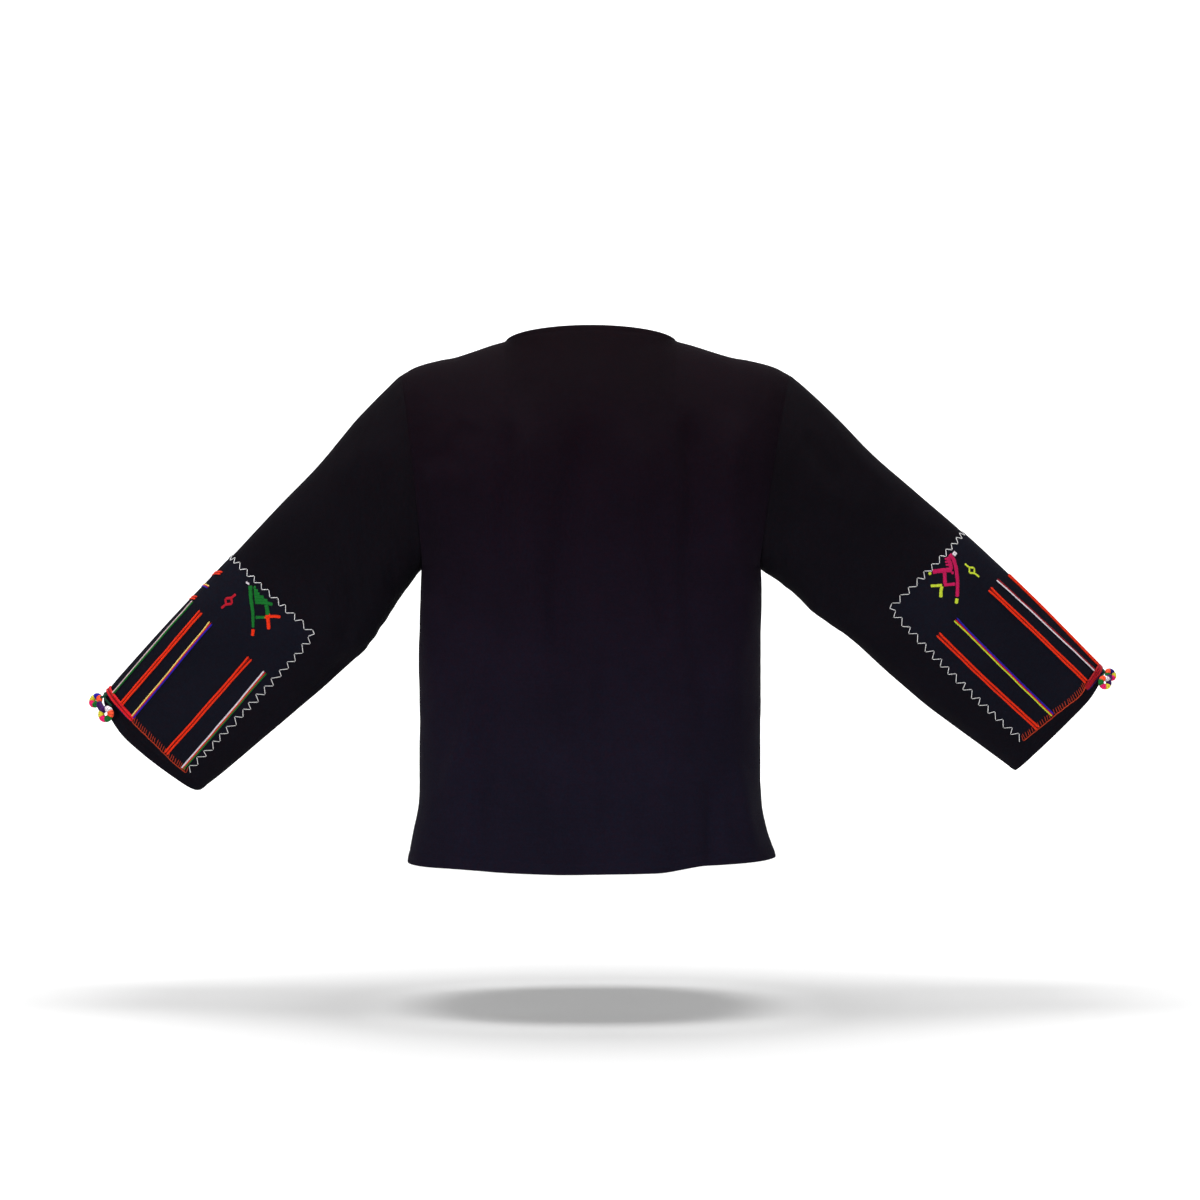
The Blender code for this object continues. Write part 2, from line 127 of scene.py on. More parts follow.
LAST = 6  # number of the last station, at the cuff
CLOTH = 1.15  # mm, the cloth itself
PATCH_LIFT = 1.2  # mm, from the sleeve's face to the patch's face
PATCH_FRONT_ANGLE = -60.0


# ---------------------------------------------------------------------------------------------------------------
# Helpers on arrays
# ---------------------------------------------------------------------------------------------------------------
def curve(x, y, at):
    """A smooth curve through the rows of a table, read at an array of places."""
    x, y = np.asarray(x, float), np.asarray(y, float)
    if x[0] > x[-1]:
        x, y = x[::-1], y[::-1]
    at = np.clip(at, x[0], x[-1])
    i = np.clip(np.searchsorted(x, at, side="right") - 1, 0, len(x) - 2)
    steps = np.diff(y) / np.diff(x)
    before = np.where(i > 0, steps[np.maximum(i - 1, 0)], steps[i])
    after = np.where(i + 2 < len(x), steps[np.minimum(i + 1, len(steps) - 1)], steps[i])
    span = x[i + 1] - x[i]
    a, b = 0.5 * (before + steps[i]) * span, 0.5 * (after + steps[i]) * span
    s = (at - x[i]) / span
    return (
        y[i] * (2 * s**3 - 3 * s**2 + 1)
        + a * (s**3 - 2 * s**2 + s)
        + y[i + 1] * (3 * s**2 - 2 * s**3)
        + b * (s**3 - s**2)
    )


def column(rows, name):
    return [getattr(r, name) for r in rows]


def smooth(x):
    x = np.clip(x, 0.0, 1.0)
    return x * x * (3 - 2 * x)


class Noise:
    """Smooth noise on a repeating lattice, the same every run."""

    def __init__(self, seed, size=64):
        self.size = size
        self.values = np.random.RandomState(seed).uniform(-1, 1, (size, size))

    def __call__(self, u, v):
        i, j = np.floor(u).astype(int), np.floor(v).astype(int)
        a, b = u - i, v - j
        a, b = a**3 * (a * (6 * a - 15) + 10), b**3 * (b * (6 * b - 15) + 10)
        n, g = self.size, self.values
        low = g[i % n, j % n] * (1 - a) + g[(i + 1) % n, j % n] * a
        high = g[i % n, (j + 1) % n] * (1 - a) + g[(i + 1) % n, (j + 1) % n] * a
        return low * (1 - b) + high * b


def arc(points, axis):
    """Length along a grid's rows or columns from its first edge."""
    step = np.linalg.norm(np.diff(points, axis=axis), axis=-1)
    zero = np.zeros_like(np.take(step, [0], axis=axis))
    return np.concatenate([zero, np.cumsum(step, axis=axis)], axis=axis)


def line(d, width):
    return np.exp(-((d / width) ** 2))


# ---------------------------------------------------------------------------------------------------------------
# Surfaces
# ---------------------------------------------------------------------------------------------------------------
def station(rows, name, t):
    values = column(rows, name)
    t = np.asarray(t, float)
    base = curve(range(LAST + 1), values, np.minimum(t, LAST))
    slope = values[-1] - values[-2] if name in ("tx", "tz", "bx", "bz") else 0.0
    return base + np.maximum(t - LAST, 0) * slope


def sleeve_base(hand, t, angle):
    rows = SLEEVES[hand]
    t, angle = np.broadcast_arrays(np.asarray(t, float), np.asarray(angle, float))
    turn = np.radians(angle)
    tx, tz, bx, bz, depth, forward, upper = (station(rows, c, t) for c in Sleeve._fields)
    down, side = (1 - np.cos(turn)) / 2, np.sin(turn)
    scoop = ARMHOLE_SCOOP * np.maximum(0, 1 - t) ** 2 * np.abs(side)
    return np.stack(
        [
            tx + (bx - tx) * down - np.sign(rows[0].tx) * scoop,
            forward - depth * side * (1 + upper * np.cos(turn)),
            tz + (bz - tz) * down,
        ],
        -1,
    )


def sleeve_normal(hand, t, angle):
    t = np.clip(t, 0.02, None)
    along = sleeve_base(hand, t + 0.02, angle) - sleeve_base(hand, t - 0.02, angle)
    around = sleeve_base(hand, t, angle + 1.0) - sleeve_base(hand, t, angle - 1.0)
    n = np.cross(along, around)
    n /= np.linalg.norm(n, axis=-1)[..., None]
    return n if hand == "left" else -n


STATION_LENGTH = {"left": 109.0, "right": 119.7}  # mm, between the last two stations


def sleeve_end(hand, angle, name):
    rows = CUFFS[hand]
    return LAST + curve(column(rows, "angle"), column(rows, name), np.mod(angle, 360.0)) / STATION_LENGTH[hand]


# Folds in the sleeves: from one place to another, each a station and an angle, with a width on each side.
SleeveFold = namedtuple("SleeveFold", "t0 a0 t1 a1 above below height")
SLEEVE_FOLDS = {
    "left": [
        SleeveFold(0.35, 70, 1.6, 52, 12, 16, 2.6),
        SleeveFold(0.5, 96, 1.9, 92, 14, 11, -2.6),
        SleeveFold(0.7, 120, 2.2, 128, 13, 15, 2.2),
        SleeveFold(2.0, 60, 3.5, 82, 14, 18, 2.0),
        SleeveFold(2.3, 112, 3.6, 140, 10, 13, -2.6),
        SleeveFold(2.9, 100, 3.9, 128, 14, 10, 2.4),
        SleeveFold(3.1, 150, 4.3, 132, 10, 12, 2.4),
        SleeveFold(3.9, 158, 5.2, 150, 9, 12, -2.0),
        SleeveFold(1.2, 20, 2.6, 30, 12, 14, -1.4),
        SleeveFold(0.4, 260, 2.2, 238, 15, 12, 2.4),
        SleeveFold(1.8, 230, 3.4, 214, 12, 14, -2.2),
        SleeveFold(3.0, 205, 4.6, 222, 12, 12, 2.0),
    ],
    "right": [
        SleeveFold(0.25, 24, 2.5, 34, 15, 11, 3.0),
        SleeveFold(0.5, 62, 1.5, 66, 10, 10, -2.6),
        SleeveFold(0.6, 84, 2.3, 78, 12, 14, 2.4),
        SleeveFold(0.9, 118, 2.6, 112, 12, 12, -2.2),
        SleeveFold(2.2, 96, 3.6, 118, 15, 12, 2.4),
        SleeveFold(2.4, 138, 3.8, 150, 9, 12, -2.4),
        SleeveFold(2.9, 60, 3.9, 50, 14, 14, -1.6),
        SleeveFold(4.0, 150, 5.4, 146, 10, 12, 1.8),
        SleeveFold(0.4, 258, 2.0, 240, 15, 12, 2.4),
        SleeveFold(1.8, 232, 3.6, 210, 12, 14, -2.2),
        SleeveFold(3.2, 212, 4.8, 226, 12, 12, 2.0),
    ],
}
SLEEVE_MM_PER_STATION, SLEEVE_MM_PER_DEGREE = 95.0, 1.15
ROUGH = Noise(11)
MIDDLE = Noise(23)
FINE = Noise(37)


def strokes(x, y, table, ends=0.22):
    """The height that a table of folds gives at each place: x0 y0 x1 y1, a width on each side, and a height."""
    total = np.zeros(np.broadcast(x, y).shape)
    for x0, y0, x1, y1, above, below, height in table:
        dx, dy = x1 - x0, y1 - y0
        length = math.hypot(dx, dy)
        along = ((x - x0) * dx + (y - y0) * dy) / length**2
        off = ((x - x0) * dy - (y - y0) * dx) / length
        off = off + 0.02 * length * np.sin(along * 5.0 + x0)
        width = np.where(off > 0, above, below)
        fade = smooth((along + ends * 0.6) / ends / 1.4) * smooth((1 + ends * 0.6 - along) / ends / 1.4)
        total += height * fade * line(off, width)
    return total


def sleeve_relief(hand, t, angle):
    """Folds, seams and turned edges of a sleeve, in mm out from its plain surface."""
    angle = np.mod(angle, 360.0)
    x, y = t * SLEEVE_MM_PER_STATION, angle * SLEEVE_MM_PER_DEGREE
    side = 0.0 if hand == "left" else 17.0
    table = [
        (f.t0 * SLEEVE_MM_PER_STATION, f.a0 * SLEEVE_MM_PER_DEGREE, f.t1 * SLEEVE_MM_PER_STATION,
         f.a1 * SLEEVE_MM_PER_DEGREE, f.above, f.below, f.height)
        for f in SLEEVE_FOLDS[hand]
    ]
    lift = strokes(x, y, table)
    turn = np.radians(angle)
    ring = np.stack([np.cos(turn), np.sin(turn)], -1)
    calm = 1 - 0.65 * smooth((t - 3.7) / 0.4) * smooth((150 - angle) / 20)
    lift = lift + calm * (
        1.7 * ROUGH(x / 70 + ring[..., 0] * 1.3 + side, ring[..., 1] * 1.3 + 9)
        + 0.55 * MIDDLE(x / 26 + ring[..., 0] * 3 + side, ring[..., 1] * 3 + 5)
    )
    # Along the sleeve's upper line the cloth is stretched over the arm, so hardly any of the folds reach it.
    top = np.cos(np.radians(np.mod(angle + 172, 360) - 180))
    lift = lift * (1 - 0.8 * smooth((top - 0.80) / 0.18)) + 0.5 * smooth((top - 0.86) / 0.12)
    lift = lift * smooth(t / 0.25)
    # The underarm seam, the armhole seam and its puckers, and the turned cuff.
    seam = np.abs(angle - 180) * SLEEVE_MM_PER_DEGREE
    lift = lift - 0.9 * line(seam, 1.7) + 0.25 * line(seam - 4.5, 2.6)
    arm = t * 62.0
    pucker = np.sin(angle * 0.41 + 2 * FINE(angle / 17 + side, 3.0 + 0 * angle))
    lift = lift - 0.3 * line(arm, 1.5) + 0.3 * pucker * np.exp(-arm / 13) * (1 - np.exp(-arm / 3))
    edge = (sleeve_end(hand, angle, "edge") - t) * STATION_LENGTH[hand]
    dimple = 0.7 + 0.3 * np.sin(angle * SLEEVE_MM_PER_DEGREE * 2 * np.pi / 6.5)
    lift = lift - 0.45 * dimple * line(edge - 9.5, 1.2) + 0.3 * line(edge - 4.8, 3.4) - 0.5 * line(edge, 0.9)
    return lift


def on_sleeve(hand, t, angle, lift=0.0):
    """Points on the finished face of a sleeve, in mm, raised by lift."""
    t, angle = np.broadcast_arrays(np.asarray(t, float), np.asarray(angle, float))
    n = sleeve_normal(hand, t, angle)
    return sleeve_base(hand, t, angle) + n * (sleeve_relief(hand, t, angle) + lift)[..., None]


def bow(share):
    return np.maximum(0.0, 1 - np.abs(share) ** SIDE_ROUND) ** (1 / SIDE_ROUND)


def body_value(name, z):
    return curve(column(BODY, "z"), column(BODY, name), z)


def section(side, share, z):
    share, z = np.broadcast_arrays(np.asarray(share, float), np.asarray(z, float))
    half = np.where(share < 0, body_value("left", z), body_value("right", z))
    full = body_value("back" if side < 0 else "front", z)
    edge = np.where(z < VENT_TOP_Z, body_value("back_edge" if side < 0 else "front_edge", z), 0.0)
    return np.stack([half * share, side * (edge + (full - edge) * bow(share)), z + 0 * share], -1)


def top_edge(side, share):
    share = np.asarray(share, float)
    tip = np.where(share < 0, 221.6, 232.0)
    size = np.abs(share)
    along = (size - NECK_SHARE) / (1 - NECK_SHARE)
    turn = np.sqrt(np.maximum(0.0, 1 - (size / NECK_SHARE) ** 2))
    neck = size < NECK_SHARE - 1e-9
    x = np.where(neck, NECK_HALF * size / NECK_SHARE, NECK_HALF + (tip - NECK_HALF) * along)
    if side < 0:
        y, z = -BACK_NECK_DEPTH * turn**NECK_OUT, BACK_NECK_RISE * turn**NECK_RISE
    else:
        y, z = FRONT_NECK_DEPTH * turn**NECK_OUT, -FRONT_NECK_DROP * turn**NECK_DROP
    shoulder = curve(column(SHOULDER_LINE, "along"), column(SHOULDER_LINE, "z"), along)
    return np.stack(
        [np.sign(share) * x, np.where(neck, y, 0.0), np.where(neck, z, shoulder)], -1
    )


def yoke(side, share, v):
    """The body between the underarm (v 0) and the shoulder seam (v 1)."""
    share, v = np.broadcast_arrays(np.asarray(share, float), np.asarray(v, float))
    low, high = section(side, share, UNDERARM_Z), top_edge(side, share)
    full = float(body_value("back" if side < 0 else "front", np.array(UNDERARM_Z)))
    rise = (1 - np.cos(np.pi * v)) / 2

    def armhole(v):
        rise = (1 - np.cos(np.pi * v)) / 2
        angle = 180 * (1 - v) if side < 0 else 180 * (1 + v)
        arm = np.where(
            (share < 0)[..., None], sleeve_base("left", 0 * v, angle), sleeve_base("right", 0 * v, angle)
        )
        most = full * np.sqrt(np.maximum(1e-18, 1 - rise**2))
        return (1 - np.minimum(1.0, np.abs(arm[..., 1]) / most) ** SIDE_ROUND) ** (1 / SIDE_ROUND), arm

    end, _ = armhole(np.full_like(v, 0.999))
    reach = np.minimum(1.0, np.abs(high[..., 1]) / (full * bow(share * end)))
    most = np.sqrt(1 - reach**2)
    round_off = np.sqrt(np.maximum(0.0, 1 - (rise * most) ** 2))
    fullness = BLADE_FULLNESS if side < 0 else BUST_FULLNESS
    plump = fullness * np.sin(np.pi * rise) ** 2 * np.maximum(0.0, 1 - share**2) ** 2
    around, _ = armhole(np.minimum(v, 0.9999))
    _, arm = armhole(v)
    chord = low + (high - low) * rise[..., None]
    sign = np.where(share < 0, -1.0, 1.0)
    edge, tip = section(side, sign, UNDERARM_Z), top_edge(side, sign)
    scoop = arm[..., 0] - (edge[..., 0] + (tip[..., 0] - edge[..., 0]) * rise)
    y = side * (full * round_off * bow(share * around) + plump)
    y = np.where(np.abs(share) > 1 - 1e-9, arm[..., 1], y)
    return np.stack([chord[..., 0] + scoop * np.abs(share) ** 12, y, chord[..., 2]], -1)


# Folds in the back, as x and z of both ends, a width towards each side, and a height (a furrow if negative).
BackFold = namedtuple("BackFold", "x0 z0 x1 z1 right left height")
BACK_FOLDS = [
    BackFold(-80, -101, -56, -343, 14, 18, 4.0),
    BackFold(-94, -112, -94, -255, 11, 13, -3.2),
    BackFold(-17, -112, -38, -371, 13, 18, -4.4),
    BackFold(52, -120, 56, -354, 26, 26, 4.4),
    BackFold(112, -101, 112, -255, 12, 15, -5.0),
    BackFold(110, -255, 127, -431, 13, 16, -3.4),
    BackFold(159, -101, 159, -255, 13, 15, 3.2),
    BackFold(-135, -104, -164, -146, 14, 19, -1.4),
    BackFold(-127, -387, -156, -509, 12, 17, 4.4),
    BackFold(-108, -397, -132, -500, 12, 12, -2.4),
    BackFold(-124, -498, -126, -600, 9, 12, -3.6),
    BackFold(16, -365, 17, -600, 9, 14, -1.8),
    BackFold(132, -500, 134, -600, 9, 12, -3.4),
    BackFold(-34, -454, -34, -600, 22, 24, 3.0),
    BackFold(158, -480, 184, -586, 9, 11, 3.0),
    BackFold(74, -380, 84, -600, 20, 22, 2.6),
    BackFold(-178, -150, -166, -250, 12, 14, 2.6),
    BackFold(176, -262, 160, -400, 14, 16, 2.0),
    BackFold(-178, -300, -150, -400, 14, 16, -1.8),
    BackFold(60, -200, 84, -330, 9, 12, -1.6),
]
FRONT_FOLDS = [
    BackFold(-120, -110, -128, -330, 16, 20, 3.2),
    BackFold(-88, -130, -84, -420, 14, 16, -2.6),
    BackFold(-52, -200, -44, -540, 20, 24, 2.4),
    BackFold(-150, -330, -138, -600, 16, 18, -2.8),
    BackFold(116, -120, 132, -350, 16, 20, 3.0),
    BackFold(84, -140, 90, -440, 14, 16, -2.6),
    BackFold(48, -220, 50, -560, 22, 22, 2.6),
    BackFold(146, -340, 150, -600, 15, 18, -2.8),
]


def body_rows():
    """z of the rows below the underarm, closer together at the hem and at its line of stitches."""
    fine = [0.0, 0.7, 1.6, 3.0, 5.5, 8.5, 11.5, 12.6, 13.4, 14.2, 15.2, 17.5]
    rows = [HEM_Z + d for d in fine] + list(np.linspace(HEM_Z + 20.2, UNDERARM_Z, 112))[:-1]
    return np.array(rows)


def yoke_rows(count=92):
    u = np.linspace(0, 1, count)
    rise = 0.25 * u + 0.75 * (1 - np.cos(np.pi * u)) / 2
    v = np.arccos(1 - 2 * rise) / np.pi
    v[0], v[-1] = 0.0, 1.0
    return v


def shares(left=True, right=True):
    """Where the cloth is sampled across the half width, closer together at the seams and at the centre front."""
    low = math.asin(NECK_SHARE)
    outer = np.sin(np.linspace(low, math.pi / 2, 58))
    near = (1 - (np.array([0.7, 1.6, 3.0]) / 118.0) ** SIDE_ROUND) ** (1 / SIDE_ROUND)
    outer = np.unique(np.concatenate([outer[:-2], near, [1.0]]))
    inner = NECK_SHARE * np.sin(np.linspace(-math.pi / 2, math.pi / 2, 46))[1:-1]
    if left and right:
        return np.concatenate([-outer[::-1], inner, outer])
    half = np.concatenate([[0.0, 0.0035, 0.008, 0.014], inner[inner > 0.02], outer])
    return -half[::-1] if left else half


def grid_normals(points, closed=False):
    if closed:
        around = np.roll(points, -1, 1) - np.roll(points, 1, 1)
    else:
        around = np.gradient(points, axis=1)
    along = np.gradient(points, axis=0)
    n = np.cross(around, along)
    return n / np.maximum(np.linalg.norm(n, axis=-1), 1e-12)[..., None]


def relax(points, axis, weight, rounds):
    """Evens out the plain surface along its rows or columns, where weight says, with the edges left as they are."""
    p = np.moveaxis(points, axis, 0).copy()
    w = np.moveaxis(weight, axis, 0)[1:-1, :, None]
    for _ in range(rounds):
        before = np.linalg.norm(p[1:-1] - p[:-2], axis=-1)[..., None] + 1e-9
        after = np.linalg.norm(p[2:] - p[1:-1], axis=-1)[..., None] + 1e-9
        middle = (p[:-2] * after + p[2:] * before) / (before + after)
        p[1:-1] += 0.5 * w * (middle - p[1:-1])
    return np.moveaxis(p, 0, axis)


def body_panel(side, share):
    """Outer face, normals, wall thickness and cloth coordinates of the back or a front."""
    zs, vs = body_rows(), yoke_rows()
    lower = section(side, share[None, :], zs[:, None])
    upper = yoke(side, share[None, :], vs[:, None])
    base = np.concatenate([lower, upper], 0)
    down = arc(base, 0)
    down = down[-1:, :] - down
    under_neck = line(np.abs(share)[None, :] - NECK_SHARE, 0.16) * smooth((down - 3) / 30)
    base = relax(base, 1, under_neck * smooth((base[..., 2] + 420) / 80), 60)
    base = relax(base, 0, line(base[..., 2] - UNDERARM_Z, 34.0) * smooth((0.97 - np.abs(share)[None, :]) / 0.1), 60)
    n = grid_normals(base)
    if side > 0:
        n = -n
    x, z = base[..., 0], base[..., 2]
    across, up = arc(base, 1), arc(base, 0)
    from_left, from_right = across, across[:, -1:] - across
    from_top, from_hem = up[-1:, :] - up, up
    whole = abs(share[0] + share[-1]) < 1e-6
    if side < 0:
        seam_l, seam_r = from_left, from_right
    else:
        seam_l = from_left if share[0] < -0.5 else np.full_like(x, 1e3)
        seam_r = from_right if share[-1] > 0.5 else np.full_like(x, 1e3)
    seam = np.minimum(seam_l, seam_r)
    shoulder = np.abs(share)[None, :] >= NECK_SHARE - 1e-9
    folds = strokes(x, z, BACK_FOLDS if side < 0 else FRONT_FOLDS)
    shift = 3.0 if side < 0 else 31.0
    folds = folds + 1.9 * ROUGH(x / 95 + shift, z / 190 + 7) + 0.7 * MIDDLE(x / 38 + shift, z / 74 + 3)
    folds = folds + 0.22 * FINE(x / 13 + shift, z / 21)
    calm = smooth(seam / 26) * smooth((from_top - 4) / 46)
    lift = 1.65 * folds * calm
    # Seams: a narrow furrow with the turnings raised beside it, and small puckers that run away from it.
    lower_part = z < UNDERARM_Z
    open_side = smooth((VENT_TOP_Z + 4 - z) / 8)
    closed_side = 1 - open_side
    lift = lift - 0.3 * closed_side * line(seam, 1.5) + 0.15 * closed_side * line(seam - 4.5, 2.6)
    pucker = np.sin(z * 0.36 + 2.2 * FINE(z / 15 + shift, 2.0 + 0 * z))
    lift = lift + np.where(lower_part, 0.14, 0.32) * pucker * np.exp(-seam / 12) * (1 - np.exp(-seam / 3)) * closed_side
    lift = lift - np.where(shoulder, 0.8 * line(from_top, 1.6), 0.0)
    # Turned edges: hem, vents, neck and centre front.
    stitch = 0.7 + 0.3 * np.sin(x * 2 * np.pi / 6.5)
    lift = lift - 0.5 * stitch * line(from_hem - 13.4, 1.1) + 0.35 * line(from_hem - 7, 5.0) - 0.55 * line(from_hem, 0.9)
    lift = lift - open_side * (0.5 * line(seam, 0.9) + 0.3 * line(seam - 8, 1.3))
    neck = ~shoulder
    lift = lift - np.where(neck, 0.28 * line(from_top - 7.5, 1.3) + 0.5 * line(from_top, 0.9) - 0.3 * line(from_top - 3.6, 2.6), 0.0)
    wall = CLOTH + 0.7 * smooth((14.5 - from_hem) / 1.5) + 0.6 * np.where(neck, smooth((8.5 - from_top) / 1.5), 0.0)
    if side > 0 and not whole:
        front = from_right if share[0] < -0.5 else from_left
        lift = lift - 0.5 * line(front, 0.9) - 0.4 * line(front - 16, 1.5) + 0.25 * line(front - 8, 6)
        wall = wall + 0.6 * smooth((16.5 - front) / 1.5)
    outer = base + n * lift[..., None]
    if side < 0:  # the hem isn't quite level: it hangs a little low at the middle and rides up towards one side
        rise = 6.5 * smooth((x - 70) / 60) - 1.6 * line(x + 20, 80.0) + 1.5 * line(x + 150, 40.0)
        outer[..., 2] += rise * smooth((-470 - z) / 130)
    u = across - across[:, [int(np.argmin(np.abs(share)))]]
    return outer, n, wall, np.stack([u, up], -1)


# ---------------------------------------------------------------------------------------------------------------
# Meshes
# ---------------------------------------------------------------------------------------------------------------
def new_object(name, points, quads, uvs=None, sharp=None, material=None):
    mesh = bpy.data.meshes.new(name)
    points = np.asarray(points, np.float32) * MM
    mesh.vertices.add(len(points))
    mesh.vertices.foreach_set("co", points.reshape(-1))
    quads = np.asarray(quads, np.int32)
    mesh.loops.add(quads.size)
    mesh.loops.foreach_set("vertex_index", quads.reshape(-1))
    mesh.polygons.add(len(quads))
    mesh.polygons.foreach_set("loop_start", np.arange(0, quads.size, quads.shape[1], dtype=np.int32))
    mesh.polygons.foreach_set("loop_total", np.full(len(quads), quads.shape[1], np.int32))
    mesh.update(calc_edges=True)
    if uvs is not None:
        layer = mesh.uv_layers.new(name="cloth")
        layer.data.foreach_set("uv", np.asarray(uvs, np.float32)[quads.reshape(-1)].reshape(-1))
    mesh.polygons.foreach_set("use_smooth", np.ones(len(quads), bool))
    if sharp:
        mesh.set_sharp_from_angle(angle=math.radians(sharp))
    mesh.update()
    o = bpy.data.objects.new(name, mesh)
    bpy.context.scene.collection.objects.link(o)
    if material:
        mesh.materials.append(material)
    return o


def grid_quads(rows, cols, closed, flip, start=0):
    i, j = np.meshgrid(np.arange(rows - 1), np.arange(cols if closed else cols - 1), indexing="ij")
    k = (j + 1) % cols
    q = np.stack([i * cols + j, i * cols + k, (i + 1) * cols + k, (i + 1) * cols + j], -1).reshape(-1, 4)
    return (q[:, ::-1] if flip else q) + start


def cloth_object(name, outer, normals, wall, uv, closed, flip, material):
    """A closed sheet between its outer face and the face one wall inside it."""
    rows, cols = outer.shape[:2]
    count = rows * cols
    inner = outer - normals * wall[..., None]
    if closed:  # one more column for the seam, so that the cloth coordinates don't run backwards
        outer = np.concatenate([outer, outer[:, :1]], 1)
        inner = np.concatenate([inner, inner[:, :1]], 1)
        cols += 1
        count = rows * cols
    points = np.concatenate([outer.reshape(-1, 3), inner.reshape(-1, 3)])
    face = grid_quads(rows, cols, False, flip)
    back = grid_quads(rows, cols, False, not flip, count)
    index = np.arange(count).reshape(rows, cols)
    loops = [(index[0], True), (index[-1], False)]
    if not closed:
        loops += [(index[:, 0], False), (index[:, -1], True)]
    rims = []
    for edge, turn in loops:
        q = np.stack([edge[:-1], edge[:-1] + count, edge[1:] + count, edge[1:]], -1)
        rims.append(q[:, ::-1] if turn == flip else q)
    uvs = np.concatenate([uv.reshape(-1, 2)] * 2) * MM
    o = new_object(name, points, np.concatenate([face, back] + rims), uvs, 50, material)
    if closed:
        weld(o)
    return o


def weld(o):
    import bmesh

    b = bmesh.new()
    b.from_mesh(o.data)
    bmesh.ops.remove_doubles(b, verts=b.verts, dist=1e-6)
    b.to_mesh(o.data)
    b.free()


def tube_arrays(path, up, radius, sides=8, ply=0.0, pitch=5.0, flat=1.0, taper=0.0):
    """A thread along a path: rows of points round it, and coordinates along and round it (mm, turns)."""
    path = np.asarray(path, float)
    tangent = np.gradient(path, axis=0)
    tangent /= np.maximum(np.linalg.norm(tangent, axis=1), 1e-9)[:, None]
    up = up - tangent * np.sum(up * tangent, 1)[:, None]
    up /= np.maximum(np.linalg.norm(up, axis=1), 1e-9)[:, None]
    across = np.cross(tangent, up)
    length = np.concatenate([[0], np.cumsum(np.linalg.norm(np.diff(path, axis=0), axis=1))])
    a = np.linspace(0, 2 * np.pi, sides + 1)[:-1]
    r = np.full((len(path), sides), 1.0) * np.asarray(radius, float).reshape(-1, 1)
    if ply:
        r = r * (1 + ply * np.cos(2 * (a[None, :] - 2 * np.pi * length[:, None] / pitch)))
    if taper:
        ends = np.minimum(length, length[-1] - length)
        r = r * np.sqrt(np.clip(ends / taper, 0.02, 1.0))[:, None]
    points = (
        path[:, None, :]
        + across[:, None, :] * (r * np.cos(a))[..., None]
        + up[:, None, :] * (r * flat * np.sin(a))[..., None]
    )
    uv = np.stack(np.broadcast_arrays(length[:, None], a[None, :] / (2 * np.pi)), -1)
    return points, uv


def cap_fan(points):
    return np.concatenate([points[:1].mean(1, keepdims=True), points, points[-1:].mean(1, keepdims=True)])


class Threads:
    """Many threads of one colour, made one object."""

    def __init__(self, name, material):
        self.name, self.material = name, material
        self.points, self.quads, self.uvs, self.count = [], [], [], 0

    def add(self, points, uv):
        rows, sides = points.shape[:2]
        flat = points.reshape(-1, 3)
        self.quads.append(grid_quads(rows, sides, True, False, self.count))
        for row, turn in ((0, True), (rows - 1, False)):  # closes each end with a strip of quads
            ring = np.arange(sides) + row * sides + self.count
            half = sides // 2
            strip = [
                (ring[i], ring[i + 1], ring[sides - 2 - i], ring[sides - 1 - i]) for i in range(half - 1)
            ]
            strip = np.array(strip)
            self.quads.append(strip[:, ::-1] if turn else strip)
        self.points.append(flat)
        self.uvs.append(uv.reshape(-1, 2))
        self.count += len(flat)

    def tube(self, path, up, radius, **more):
        self.add(*tube_arrays(path, up, radius, **more))

    def make(self):
        if not self.points:
            return None
        o = new_object(
            self.name,
            np.concatenate(self.points),
            np.concatenate(self.quads),
            np.concatenate(self.uvs),
            None,
            self.material,
        )
        return o


# ---------------------------------------------------------------------------------------------------------------
# Materials
# ---------------------------------------------------------------------------------------------------------------
def nodes_of(name):
    m = bpy.data.materials.new(name)
    m.use_nodes = True
    tree = m.node_tree
    return m, tree, tree.nodes["Principled BSDF"]


def add(tree, kind, **values):
    node = tree.nodes.new(kind)
    for key, value in values.items():
        if key.startswith("in_"):
            name = key[3:].replace("_", " ")
            node.inputs[int(name) if name.isdigit() else name].default_value = value
        else:
            setattr(node, key, value)
    return node


def mix_colour(tree, factor, a, b):
    node = add(tree, "ShaderNodeMix", data_type="RGBA")
    tree.links.new(factor, node.inputs[0])
    node.inputs[6].default_value = (*a, 1)
    node.inputs[7].default_value = (*b, 1)
    return node.outputs[2]


